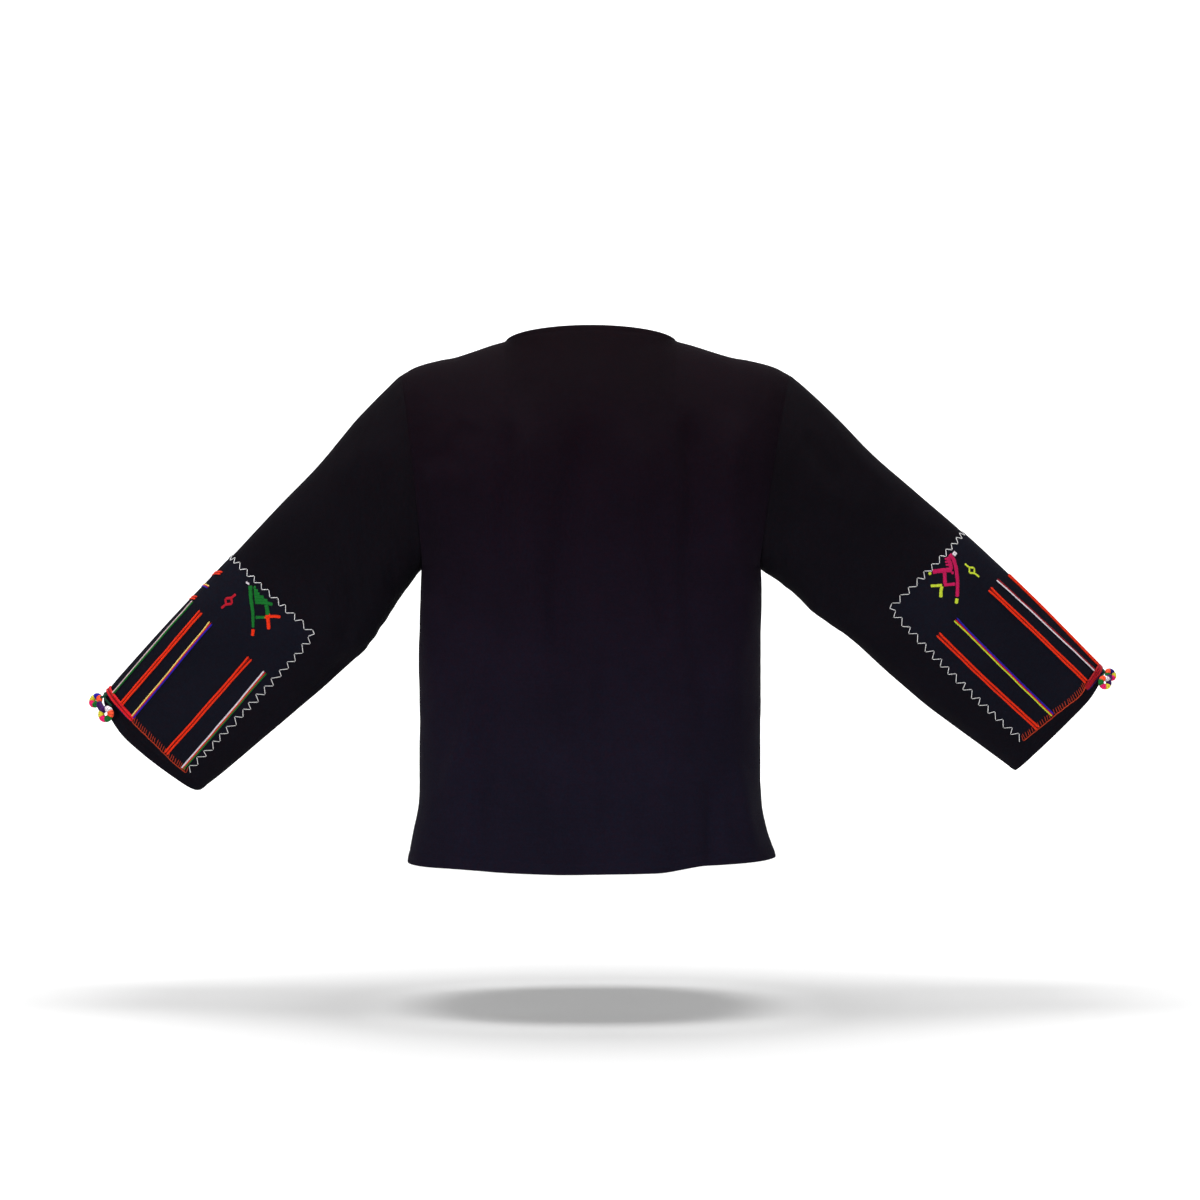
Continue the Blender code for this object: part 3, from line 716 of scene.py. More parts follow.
def cotton(name, dark, light, weave_mm, sheen, bump=0.6, middle=(1.0, 1.0, 1.0), upper=(1.0, 1.0, 1.0)):
    """Plain woven cotton: a weave in the cloth's own coordinates, uneven dye and slubs, painted shade that darkens it
    towards the shoulders, and a soft sheen.
    """
    m, tree, shader = nodes_of(name)
    link = tree.links.new
    uv = add(tree, "ShaderNodeUVMap", uv_map="cloth").outputs[0]
    scale = 1.0 / (weave_mm * MM) / 6.3662 * 2
    waves = []
    for direction in ("X", "Y"):
        w = add(tree, "ShaderNodeTexWave", bands_direction=direction, wave_type="BANDS", in_Scale=scale,
                in_Distortion=1.1, in_Detail=1.0)
        w.inputs["Detail Scale"].default_value = 0.6
        link(uv, w.inputs["Vector"])
        waves.append(w.outputs["Fac"])
    weave = add(tree, "ShaderNodeMath", operation="MULTIPLY")
    link(waves[0], weave.inputs[0])
    link(waves[1], weave.inputs[1])
    dye = add(tree, "ShaderNodeTexNoise", in_Scale=9.0, in_Detail=5.0, in_Roughness=0.6)
    slub_map = add(tree, "ShaderNodeMapping")
    slub_map.inputs["Scale"].default_value = (30.0, 700.0, 1.0)
    link(uv, slub_map.inputs["Vector"])
    slub = add(tree, "ShaderNodeTexNoise", in_Scale=1.0, in_Detail=2.0)
    link(slub_map.outputs[0], slub.inputs["Vector"])
    coords = add(tree, "ShaderNodeTexCoord").outputs["Object"]
    link(coords, dye.inputs["Vector"])
    total = add(tree, "ShaderNodeMath", operation="MULTIPLY_ADD")
    total.inputs[1].default_value = 0.75
    grain = add(tree, "ShaderNodeTexNoise", in_Scale=430.0, in_Detail=3.0, in_Roughness=0.75)
    link(coords, grain.inputs["Vector"])
    grainy = add(tree, "ShaderNodeMath", operation="MULTIPLY_ADD")
    grainy.inputs[1].default_value = 1.1
    link(grain.outputs["Fac"], grainy.inputs[0])
    offset = add(tree, "ShaderNodeMath", operation="SUBTRACT")
    offset.inputs[1].default_value = 0.73
    link(dye.outputs["Fac"], offset.inputs[0])
    link(offset.outputs[0], grainy.inputs[2])
    link(grainy.outputs[0], total.inputs[0])
    part = add(tree, "ShaderNodeMath", operation="MULTIPLY")
    part.inputs[1].default_value = 0.25
    link(slub.outputs["Fac"], part.inputs[0])
    link(part.outputs[0], total.inputs[2])
    more = add(tree, "ShaderNodeMath", operation="MULTIPLY_ADD", use_clamp=True)
    more.inputs[1].default_value = 0.22
    link(weave.outputs[0], more.inputs[0])
    link(total.outputs[0], more.inputs[2])
    # Painted shade: the colour is made darker and browner over the shoulders than towards the hem, standing in for the
    # shade on the top of the jacket.
    heights = add(tree, "ShaderNodeSeparateXYZ")
    link(coords, heights.inputs[0])
    fade = add(tree, "ShaderNodeMapRange")
    fade.inputs["From Min"].default_value = -0.52
    fade.inputs["From Max"].default_value = 0.0
    link(heights.outputs[2], fade.inputs["Value"])
    painted_shade_ramp = add(tree, "ShaderNodeValToRGB")
    painted_shade_ramp.color_ramp.interpolation = "B_SPLINE"
    painted_shade_ramp.color_ramp.elements[0].color = (1, 1, 1, 1)
    painted_shade_ramp.color_ramp.elements[1].color = (*upper, 1)
    painted_shade_ramp.color_ramp.elements.new(0.5).color = (*middle, 1)
    link(fade.outputs[0], painted_shade_ramp.inputs[0])
    both = add(tree, "ShaderNodeMix", data_type="RGBA", blend_type="MULTIPLY")
    both.inputs[0].default_value = 1.0
    shade = add(tree, "ShaderNodeTexNoise", in_Scale=260.0, in_Detail=4.0, in_Roughness=0.7)
    link(coords, shade.inputs["Vector"])
    spread = add(tree, "ShaderNodeMapRange")
    spread.inputs["From Min"].default_value = 0.33
    spread.inputs["From Max"].default_value = 0.67
    link(shade.outputs["Fac"], spread.inputs["Value"])
    warm = tuple(c * f for c, f in zip(light, (1.40, 0.78, 0.82)))
    cool = tuple(c * f for c, f in zip(light, (0.68, 1.12, 1.20)))
    tint = add(tree, "ShaderNodeMix", data_type="RGBA")
    link(more.outputs[0], tint.inputs[0])
    tint.inputs[6].default_value = (*dark, 1)
    link(mix_colour(tree, spread.outputs[0], warm, cool), tint.inputs[7])
    link(tint.outputs[2], both.inputs[6])
    link(painted_shade_ramp.outputs[0], both.inputs[7])
    link(both.outputs[2], shader.inputs["Base Color"])
    fuzz = add(tree, "ShaderNodeTexNoise", in_Scale=420.0, in_Detail=3.0)
    link(coords, fuzz.inputs["Vector"])
    height = add(tree, "ShaderNodeMath", operation="MULTIPLY_ADD")
    height.inputs[1].default_value = 0.35
    link(fuzz.outputs["Fac"], height.inputs[0])
    link(weave.outputs[0], height.inputs[2])
    b = add(tree, "ShaderNodeBump", in_Strength=bump, in_Distance=0.00022)
    link(height.outputs[0], b.inputs["Height"])
    link(b.outputs[0], shader.inputs["Normal"])
    rough = add(tree, "ShaderNodeMapRange")
    rough.inputs["To Min"].default_value = 0.78
    rough.inputs["To Max"].default_value = 0.95
    link(dye.outputs["Fac"], rough.inputs["Value"])
    link(rough.outputs[0], shader.inputs["Roughness"])
    shader.inputs["Specular IOR Level"].default_value = 0.03
    shader.inputs["Sheen Weight"].default_value = sheen
    shader.inputs["Sheen Roughness"].default_value = 0.45
    shader.inputs["Sheen Tint"].default_value = (0.75, 0.78, 1.0, 1.0)
    return m


def thread(name, colour, shade=0.42, turns=1.0, sheen=0.04, pitch_mm=2.2):
    """Twisted embroidery thread: fine plies that run round it, with painted shade that leaves each ply lighter on top
    and darker between them.
    """
    m, tree, shader = nodes_of(name)
    link = tree.links.new
    uv = add(tree, "ShaderNodeUVMap", uv_map="cloth").outputs[0]
    warp = add(tree, "ShaderNodeMapping")
    warp.inputs["Rotation"].default_value = (0, 0, 0)
    warp.inputs["Scale"].default_value = (1.0 / (pitch_mm * MM), turns, 1.0)
    link(uv, warp.inputs["Vector"])
    split = add(tree, "ShaderNodeSeparateXYZ")
    link(warp.outputs[0], split.inputs[0])
    both = add(tree, "ShaderNodeMath", operation="ADD")
    link(split.outputs[0], both.inputs[0])
    link(split.outputs[1], both.inputs[1])
    turn = add(tree, "ShaderNodeMath", operation="MULTIPLY")
    turn.inputs[1].default_value = 2 * math.pi
    link(both.outputs[0], turn.inputs[0])
    wave = add(tree, "ShaderNodeMath", operation="SINE")
    link(turn.outputs[0], wave.inputs[0])
    noise = add(tree, "ShaderNodeTexNoise", in_Scale=900.0, in_Detail=3.0)
    coords = add(tree, "ShaderNodeTexCoord").outputs["Object"]
    link(coords, noise.inputs["Vector"])
    mixed = add(tree, "ShaderNodeMath", operation="MULTIPLY_ADD")
    mixed.inputs[1].default_value = 0.28
    link(wave.outputs[0], mixed.inputs[0])
    link(noise.outputs["Fac"], mixed.inputs[2])
    clamp = add(tree, "ShaderNodeMapRange")
    clamp.inputs["From Min"].default_value = 0.1
    clamp.inputs["From Max"].default_value = 0.8
    link(mixed.outputs[0], clamp.inputs["Value"])
    # Painted shade: between the plies the colour falls to shade times itself.
    dark = tuple(c * shade for c in colour)
    link(mix_colour(tree, clamp.outputs[0], dark, colour), shader.inputs["Base Color"])
    b = add(tree, "ShaderNodeBump", in_Strength=0.5, in_Distance=0.0002)
    link(mixed.outputs[0], b.inputs["Height"])
    link(b.outputs[0], shader.inputs["Normal"])
    shader.inputs["Roughness"].default_value = 0.65
    shader.inputs["Specular IOR Level"].default_value = 0.12
    shader.inputs["Sheen Weight"].default_value = sheen
    shader.inputs["Sheen Roughness"].default_value = 0.4
    return m


def linear(r, g, b):
    return tuple(((c / 255 + 0.055) / 1.055) ** 2.4 if c > 10 else c / 255 / 12.92 for c in (r, g, b))


COLOURS = {
    "orange": linear(236, 46, 2),
    "deep_red": linear(150, 8, 8),
    "brick": linear(180, 54, 22),
    "red": linear(222, 24, 34),
    "dark_red": linear(156, 8, 22),
    "white": linear(226, 216, 224),
    "grey_white": linear(250, 249, 250),
    "lime": linear(196, 214, 52),
    "yellow": linear(238, 206, 112),
    "bright_yellow": linear(226, 214, 60),
    "blue": linear(34, 16, 160),
    "navy": linear(24, 24, 120),
    "crimson": linear(180, 10, 36),
    "green": linear(8, 108, 36),
    "dark_green": linear(8, 66, 44),
    "magenta": linear(192, 14, 84),
    "coral": linear(255, 88, 50),
    "pink": linear(238, 26, 110),
    "purple": linear(58, 8, 88),
    "rose": linear(228, 200, 204),
}
# middle and upper are painted shade: they darken and brown the colour towards the shoulders.
COTTON = cotton("body_cotton", (0.0034, 0.0031, 0.0070), (0.0104, 0.0090, 0.0186), 0.62, 0.003,
                middle=(0.90, 0.54, 0.58), upper=(0.46, 0.19, 0.14))
SLEEVE_COTTON = cotton("sleeve_cotton", (0.0024, 0.0022, 0.0036), (0.0066, 0.0060, 0.0098), 0.62, 0.003,
                       middle=(0.90, 0.84, 0.82), upper=(0.76, 0.51, 0.46))
PATCH_COTTON = cotton("patch_cotton", (0.0026, 0.0027, 0.0054), (0.0078, 0.0082, 0.0140), 0.50, 0.003)
THREADS = {name: thread("thread_" + name, value) for name, value in COLOURS.items()}


def keep(o, *nodes, slot="jacket_cotton"):
    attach(o, "root")
    if nodes:
        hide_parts(*nodes)
    return o


for piece, side, left, right in (("back", -1, True, True), ("front_left", 1, True, False), ("front_right", 1, False, True)):
    outer, n, wall, uv = body_panel(side, shares(left, right))
    keep(cloth_object("jacket_" + piece, outer, n, wall, uv, False, side > 0, COTTON), piece)


def sleeve_panel(hand):
    fine = np.array([0.0, 0.8, 1.8, 3.4, 6.0, 8.2, 9.0, 9.8, 10.8, 13.0]) / STATION_LENGTH[hand]
    start = np.array([0.0, 0.012, 0.028, 0.05, 0.08])
    angle = np.concatenate([np.linspace(0, 360, 161)[:-1], [178.8, 179.4, 180.6, 181.2]])
    angle = np.unique(angle)
    share = np.concatenate([start, np.linspace(0.11, LAST - 0.17, 186), LAST - fine[::-1]])
    extra = sleeve_end(hand, angle, "edge") - LAST
    t = share[:, None] + extra[None, :] * smooth((share[:, None] - 4.6) / 1.25)
    a = np.broadcast_to(angle[None, :], t.shape)
    outer = on_sleeve(hand, t, a)
    reach = outer[0] - outer[1]  # the sleeve's edge is drawn up against the body's, as the seam holds it
    outer[0] += 0.3 * reach / np.linalg.norm(reach, axis=-1, keepdims=True)
    n = sleeve_normal(hand, t, a)
    edge = (LAST - share)[:, None] * STATION_LENGTH[hand] + 0 * a
    wall = CLOTH + 0.6 * smooth((10.5 - edge) / 1.5)
    around = arc(sleeve_base(hand, t, a), 1)
    up = arc(sleeve_base(hand, t, a), 0)
    uv = np.stack([around, up], -1)
    uv = np.concatenate([uv, np.stack([around[:, -1:] + 1.5, up[:, :1]], -1)], 1)
    return outer, n, wall, uv


for hand in ("left", "right"):
    outer, n, wall, uv = sleeve_panel(hand)
    keep(
        cloth_object("jacket_sleeve_" + hand, outer, n, wall, uv, True, hand == "left", SLEEVE_COTTON),
        "sleeve_" + hand,
    )

# The applied rectangle of cloth: where its edges lie, each as a station and an angle.
Patch = namedtuple("Patch", "inner_top inner_low low_inner low_end")
PATCHES = {
    "left": Patch(4.013, 3.900, 116.8, 131.9),
    "right": Patch(4.010, 3.963, 113.4, 127.3),
}


def patch_place(hand, along, round_):
    """A place on the patch: along from its inner edge (0) to the cuff (1), round from the front edge to the lower."""
    p = PATCHES[hand]
    low = p.low_inner + (p.low_end - p.low_inner) * along
    angle = PATCH_FRONT_ANGLE + (low - PATCH_FRONT_ANGLE) * round_
    inner = p.inner_top + (p.inner_low - p.inner_top) * np.clip(angle / p.low_inner, -0.5, 1)
    outer = sleeve_end(hand, angle, "patch_end")
    return inner + (outer - inner) * along, angle


def patch_panel(hand):
    rows = np.unique(np.concatenate([[0, 0.004, 0.010, 0.018], np.linspace(0.03, 0.97, 62), [0.982, 0.990, 0.996, 1]]))
    cols = np.unique(np.concatenate([[0, 0.004, 0.010, 0.018], np.linspace(0.03, 0.97, 74), [0.982, 0.990, 0.996, 1]]))
    a, r = np.meshgrid(rows, cols, indexing="ij")
    t, angle = patch_place(hand, a, r)
    edge = np.minimum(np.minimum(a, 1 - a) * 196, np.minimum(r, 1 - r) * 195)
    swell = 0.35 * MIDDLE(t * 2.3 + 5, angle / 24) * smooth(edge / 12)
    lift = 0.45 + (PATCH_LIFT - 0.45) * smooth(edge / 2.2) + swell - 0.25 * line(edge - 5.5, 2.2)
    outer = on_sleeve(hand, t, angle, lift)
    n = sleeve_normal(hand, t, angle)
    wall = lift - 0.12
    uv = np.stack([arc(outer, 1), arc(outer, 0)], -1)
    return outer, n, wall, uv


for hand in ("left", "right"):
    outer, n, wall, uv = patch_panel(hand)
    keep(
        cloth_object("jacket_patch_" + hand, outer, n, wall, uv, False, hand == "left", PATCH_COTTON),
        "sleeve_patch_" + hand,
        slot="patch_cotton",
    )


# ---------------------------------------------------------------------------------------------------------------
# Needlework on the patches
# ---------------------------------------------------------------------------------------------------------------
def angle_of(across):
    """The angle of a share of the visible width, from the sleeve's top (0) to its underarm line (1)."""
    return np.degrees(np.arccos(1 - 2 * np.clip(across, 0, 1)))


def metric(hand, t, angle):
    """mm per station and mm per degree at a place on a sleeve."""
    a = np.linalg.norm(sleeve_base(hand, t + 0.05, angle) - sleeve_base(hand, t - 0.05, angle), axis=-1) / 0.1
    b = np.linalg.norm(sleeve_base(hand, t, angle + 1) - sleeve_base(hand, t, angle - 1), axis=-1) / 2
    return a, b


# Couched cords that lie side by side: colour, distance from the middle, radius, in mm.
Strand = namedtuple("Strand", "colour offset radius")
CORDS = {
    "orange": [Strand("orange", -1.7, 1.15), Strand("deep_red", 0.0, 0.5), Strand("orange", 1.7, 1.15)],
    "yellow_blue": [Strand("yellow", -1.6, 0.85), Strand("red", -0.1, 0.62), Strand("blue", 1.45, 0.95)],
    "lime_blue": [Strand("lime", 1.6, 0.85), Strand("red", 0.1, 0.62), Strand("blue", -1.45, 0.95)],
    "white_green": [Strand("rose", -1.1, 0.75), Strand("deep_red", 0.0, 0.4), Strand("green", 1.1, 0.9)],
    "white_red": [Strand("white", 0.9, 0.82), Strand("dark_red", -0.8, 0.85)],
    "red_green": [Strand("white", -1.5, 0.95), Strand("red", 0.1, 0.75), Strand("green", 1.6, 0.85)],
}
Stripe = namedtuple("Stripe", "cord t0 across0 t1 across1")
STRIPES = {
    "left": [
        Stripe("white_green", 4.637, 0.035, 5.925, 0.059),
        Stripe("orange", 4.639, 0.127, 5.910, 0.161),
        Stripe("yellow_blue", 4.642, 0.227, 5.925, 0.284),
        Stripe("orange", 4.622, 0.560, 5.945, 0.634),
        Stripe("red_green", 4.627, 0.689, 5.945, 0.791),
    ],
    "right": [
        Stripe("orange", 4.654, 0.013, 5.925, 0.010),
        Stripe("white_red", 4.586, 0.096, 5.915, 0.065),
        Stripe("orange", 4.585, 0.177, 5.915, 0.174),
        Stripe("lime_blue", 4.538, 0.472, 5.873, 0.520),
        Stripe("orange", 4.515, 0.615, 5.855, 0.661),
    ],
}
# Short cords across the sleeve's top edge: their station, the angle where they end on the back and on the front.
Across = namedtuple("Across", "cord t end front slant")
ACROSSES = {
    "left": [
        Across("orange", 4.215, 25.0, -52.0, 0.0040),
        Across("yellow_blue", 4.420, 25.0, -52.0, 0.0022),
        Across("orange", 4.590, 22.0, -52.0, 0.0030),
    ],
    "right": [
        Across("orange", 4.34, -8.0, -52.0, 0.0),
        Across("lime_blue", 4.47, -8.0, -52.0, 0.0),
    ],
}


def lay(pool, hand, t, angle, radius, base=None, **more):
    """A thread laid on a sleeve along a path of stations and angles."""
    base = PATCH_LIFT if base is None else base
    lift = base + radius * more.pop("sink", 0.62)
    path = on_sleeve(hand, t, angle, lift)
    pool.tube(path, sleeve_normal(hand, t, angle), radius, **more)


def resample(points, step):
    points = np.asarray(points, float)
    length = np.concatenate([[0], np.cumsum(np.linalg.norm(np.diff(points, axis=0), axis=1))])
    count = max(3, int(round(length[-1] / step)) + 1)
    at = np.linspace(0, length[-1], count)
    return np.stack([np.interp(at, length, points[:, i]) for i in range(points.shape[1])], 1)


def place(hand, t, angle, along, around):
    """Moves a place on a sleeve by so many mm along and round it."""
    a, b = metric(hand, t, angle)
    return t + along / a, angle + around / b


def embroider(hand):
    pools = {c: Threads(f"needlework_{hand}_{c}", THREADS[c]) for c in COLOURS}
    wobble = Noise(51 if hand == "left" else 52)
    sign = 1.0
    for k, s in enumerate(STRIPES[hand]):
        count = 150
        f = np.linspace(0, 1, count)
        t = s.t0 + (s.t1 - s.t0) * f
        across = s.across0 + (s.across1 - s.across0) * f
        angle = angle_of(across)
        for strand in CORDS[s.cord]:
            drift = 0.28 * wobble(f * 9 + 3 * k, 5.0 + strand.offset + 0 * f)
            flare = 1 + 0.45 * np.exp(-f * 16)
            ts, an = place(hand, t, angle, 0.0, sign * (strand.offset * flare + drift))
            lay(pools[strand.colour], hand, ts, an, strand.radius, sides=8, ply=0.13, pitch=4.4, taper=1.4)
    for k, s in enumerate(ACROSSES[hand]):
        angle = np.linspace(s.end, s.front, 60)
        t = s.t + s.slant * (s.end - np.maximum(angle, -15.0))
        for strand in CORDS[s.cord]:
            drift = 0.25 * wobble(angle / 13, 9.0 + strand.offset + 0 * angle)
            ts, an = place(hand, t, angle, strand.offset + drift, 0.0)
            lay(pools[strand.colour], hand, ts, an, strand.radius * 0.9, sides=8, ply=0.13, pitch=4.4, taper=1.4,
                sink=0.35, flat=0.7)
    zigzags(hand, pools["grey_white"], wobble)
    blanket(hand, pools["brick"], wobble)
    motifs(hand, pools)
    tabs(hand, pools)
    return [o for o in (p.make() for p in pools.values()) if o]


def zigzag_line(pool, hand, where, pitch, height, wobble, seed, closer=0.0):
    """A zigzag stitch over an edge. where gives the station and angle at each share of the edge's length."""
    f = np.linspace(0, 1, 400)
    t, angle = where(f)
    mid = sleeve_base(hand, t, angle)
    length = np.concatenate([[0], np.cumsum(np.linalg.norm(np.diff(mid, axis=0), axis=1))])
    legs = 2 * int(round(length[-1] / pitch))
    corner = np.linspace(0, 1, legs + 1)
    corner = length[-1] * corner * (1 + closer * (1 - corner))
    f_corner = np.interp(corner, length, f)
    t_c, a_c = where(f_corner)
    ahead_t, ahead_a = where(np.clip(f_corner + 0.01, 0, 1))
    back_t, back_a = where(np.clip(f_corner - 0.01, 0, 1))
    m_a, m_b = metric(hand, t_c, a_c)
    d_along, d_around = (ahead_t - back_t) * m_a, (ahead_a - back_a) * m_b
    size = np.hypot(d_along, d_around)
    d_along, d_around = d_along / size, d_around / size
    off = np.where(np.arange(legs + 1) % 2 == 0, 0.5, -0.5) * height
    off = off * (1 + 0.16 * wobble(np.arange(legs + 1) * 0.9, seed + 0.0 * corner))
    slip = 0.13 * pitch * wobble(np.arange(legs + 1) * 1.3 + 7, seed + 2.0 + 0.0 * corner)
    off[0] = slip[0] = 0.0
    t_z = t_c + (-d_around * off + d_along * slip) / m_a
    a_z = a_c + (d_along * off + d_around * slip) / m_b
    for i in range(legs):  # each leg is one straight stitch, whose ends go down into the cloth
        f = np.linspace(0.05, 0.95, 17)
        t_f, a_f = t_z[i] + (t_z[i + 1] - t_z[i]) * f, a_z[i] + (a_z[i + 1] - a_z[i]) * f
        sunk = PATCH_LIFT * 0.9 - 0.8 * np.exp(-np.minimum(f, 1 - f) / 0.03)
        lay(pool, hand, t_f, a_f, 0.36, base=sunk, sides=8, ply=0.12, pitch=2.6, taper=0.5, sink=0.9)


def zigzags(hand, pool, wobble):
    def inner(f):
        return patch_place(hand, 0 * f + 0.004, 1 - f)

    def lower(f):
        return patch_place(hand, f * 0.985, 0 * f + 0.998)

    def front(f):
        return patch_place(hand, f * 0.985, 0 * f + 0.002)

    closer = {"left": 0.06, "right": 0.28}[hand]
    zigzag_line(pool, hand, inner, {"left": 12.6, "right": 11.0}[hand], 7.2, wobble, 1.0, closer)
    zigzag_line(pool, hand, lower, 13.6, 8.2, wobble, 11.0)
    zigzag_line(pool, hand, front, 13.6, 8.2, wobble, 21.0)


Border = namedtuple("Border", "start end")
BORDERS = {"left": Border(66.5, 131.0), "right": Border(53.5, 126.0)}


def blanket(hand, pool, wobble):
    """Blanket stitch along the patch's cuff end: a line, with a bar from it at each stitch."""
    b = BORDERS[hand]
    angle = np.linspace(b.start, b.end, 120)
    t = sleeve_end(hand, angle, "patch_end") - 0.6 / STATION_LENGTH[hand]
    drift = 0.3 * wobble(angle / 3.0, 31.0 + 0 * angle)
    ts, an = place(hand, t, angle, drift, 0.0)
    lay(pool, hand, ts, an, 0.62, sides=8, ply=0.14, pitch=3.4, taper=1.0)
    mm = metric(hand, t.mean(), angle.mean())[1]
    count = int(round((b.end - b.start) * mm / 3.3))
    for i in range(count + 1):
        a0 = b.start + (b.end - b.start) * (i + 0.15 * wobble(np.array(i * 0.7), np.array(33.0))) / count
        long = 6.6 + 0.8 * float(wobble(np.array(i * 1.1), np.array(35.0)))
        lean = -3.2 + 0.7 * float(wobble(np.array(i * 0.9), np.array(37.0)))
        t0 = float(sleeve_end(hand, a0, "patch_end")) - 0.9 / STATION_LENGTH[hand]
        f = np.linspace(0, 1, 7)
        ts, an = place(hand, np.full(7, t0), np.full(7, a0), -long * f, lean * f)
        lay(pool, hand, ts, an, 0.40, sides=8, taper=0.8, sink=0.8, base=PATCH_LIFT)


# Small figures in satin stitch, in mm from the figure's middle: x to the right and y down as the back is seen.
Bar = namedtuple("Bar", "colour width points end", defaults=[None])
FIGURES = {
    "left": [
        Bar("green", 5.4, [(-11.4, -19.0), (-10.2, -4.0), (-7.6, 12.0), (-6.8, 29.5)], 3.2),
        Bar("orange", 3.9, [(-6.6, 31.0), (-7.2, 38.5)]),
        Bar("green", 4.0, [(-7.2, -16.8), (-4.2, -16.0)]),
        Bar("green", 4.0, [(-6.8, -13.0), (-1.4, -12.2)]),
        Bar("green", 4.0, [(-6.6, -9.4), (0.6, -8.4)]),
        Bar("green", 4.0, [(-6.2, -5.8), (5.4, -4.8)]),
        Bar("green", 4.0, [(-5.8, -2.2), (9.6, -1.0)]),
        Bar("green", 3.9, [(-5.2, 1.2), (9.6, 1.8), (15.4, 3.2)]),
        Bar("green", 5.0, [(7.8, 3.6), (8.8, 10.0), (9.0, 16.0)]),
        Bar("green", 3.4, [(-4.6, 18.4), (7.6, 18.2)]),
        Bar("orange", 3.6, [(9.6, 17.4), (16.0, 16.8), (23.4, 17.2)]),
        Bar("orange", 4.6, [(8.8, 17.8), (9.4, 25.0), (9.8, 32.0)], 4.0),
        Bar("orange", 3.6, [(5.4, 19.4), (11.2, 13.6)]),
    ],
    "right": [
        Bar("magenta", 5.0, [(1.4, -26.0), (6.4, -19.0), (8.6, -8.6), (9.2, 7.2), (7.6, 25.0)], 4.2),
        Bar("lime", 4.0, [(7.2, 26.4), (6.0, 32.4)]),
        Bar("magenta", 5.2, [(-1.6, -22.6), (1.4, -14.4), (2.6, -6.0)]),
        Bar("magenta", 2.2, [(-5.6, -20.4), (-1.6, -20.0)]),
        Bar("magenta", 2.2, [(-5.0, -16.4), (-0.6, -16.0)]),
        Bar("magenta", 2.2, [(-4.4, -12.4), (0.0, -12.2)]),
        Bar("magenta", 5.2, [(-20.4, -5.6), (-8.0, -5.8), (3.4, -6.0)]),
        Bar("lime", 3.2, [(-25.0, -3.6), (-21.6, -4.6)]),
        Bar("magenta", 4.6, [(-5.6, -3.4), (-5.2, 10.6)]),
        Bar("magenta", 3.2, [(3.2, -4.0), (4.4, -0.6)]),
        Bar("magenta", 3.6, [(-6.6, 11.4), (6.4, 10.8)]),
        Bar("lime", 3.2, [(-21.4, 11.0), (-15.0, 11.6), (-8.4, 11.4)]),
        Bar("lime", 4.0, [(-8.8, 12.4), (-9.8, 18.0), (-9.8, 25.0)]),
    ],
}
TAGS = {
    "left": [Bar("white", 2.2, [(-17.4, -23.8), (-12.8, -20.4)])],
    "right": [
        Bar("white", 2.9, [(5.6, -27.6), (10.0, -24.0)]),
        Bar("white", 2.9, [(7.4, -29.6), (11.8, -26.0)]),
    ],
}
DIAMONDS = {
    "left": [
        Bar("crimson", 2.9, [(8.6, -8.4), (3.6, -3.9), (-4.0, -3.1)]),
        Bar("crimson", 2.9, [(-8.6, 8.4), (-3.6, 3.9), (4.0, 3.1)]),
        Bar("crimson", 2.7, [(-4.0, -3.0), (-3.2, 3.0)]),
        Bar("crimson", 2.7, [(4.0, 3.0), (3.2, -3.0)]),
    ],
    "right": [
        Bar("lime", 2.2, [(-8.4, -8.2), (-3.2, -3.6), (3.4, -3.0)]),
        Bar("lime", 2.2, [(8.4, 8.2), (3.2, 3.6), (-3.4, 3.0)]),
        Bar("lime", 2.1, [(3.4, -2.8), (2.9, 2.8)]),
        Bar("lime", 2.1, [(-3.4, 2.8), (-2.9, -2.8)]),
    ],
}
FigurePlace = namedtuple("FigurePlace", "t across")
FIGURE_AT = {"left": FigurePlace(4.113, 0.348), "right": FigurePlace(4.201, 0.289)}
DIAMOND_AT = {"left": FigurePlace(4.358, 0.209), "right": FigurePlace(4.343, 0.166)}


def turned(hand, x, y):
    """From right and down in the back view to along and round the sleeve, which slants at 45 degrees."""
    c = math.sqrt(0.5)
    if hand == "left":
        return (y - x) * c, (y + x) * c
    return (y + x) * c, (y - x) * c


def satin(pool, hand, at, points, width, end=None):
    """A bar of satin stitch: a low rounded ridge, with its threads, about 0.8 mm each, running across it."""
    pts = resample(points, 0.2)
    kernel = np.ones(9) / 9
    for i in (0, 1):
        pts[4:-4, i] = np.convolve(pts[:, i], kernel, "valid")
    along, around = turned(hand, pts[:, 0], pts[:, 1])
    t0, a0 = at.t, float(angle_of(at.across))
    t, angle = place(hand, np.full(len(pts), t0), np.full(len(pts), a0), along, around)
    count = np.arange(len(pts))
    ridge = 1 + 0.07 * np.cos(count * 2 * np.pi / 4) + 0.05 * np.sin(count * 0.37) + 0.04 * np.sin(count * 0.13 + 1)
    ridge = ridge * np.linspace(1, (end or width) / width, len(pts))
    path = on_sleeve(hand, t, angle, PATCH_LIFT + 0.12)
    pool.tube(path, sleeve_normal(hand, t, angle), width / 2 * ridge, sides=12, flat=0.42, taper=0.7)


def motifs(hand, pools):
    for bar in FIGURES[hand] + TAGS[hand]:
        satin(pools[bar.colour], hand, FIGURE_AT[hand], bar.points, bar.width, bar.end)
    for bar in DIAMONDS[hand]:
        satin(pools[bar.colour], hand, DIAMOND_AT[hand], bar.points, bar.width)


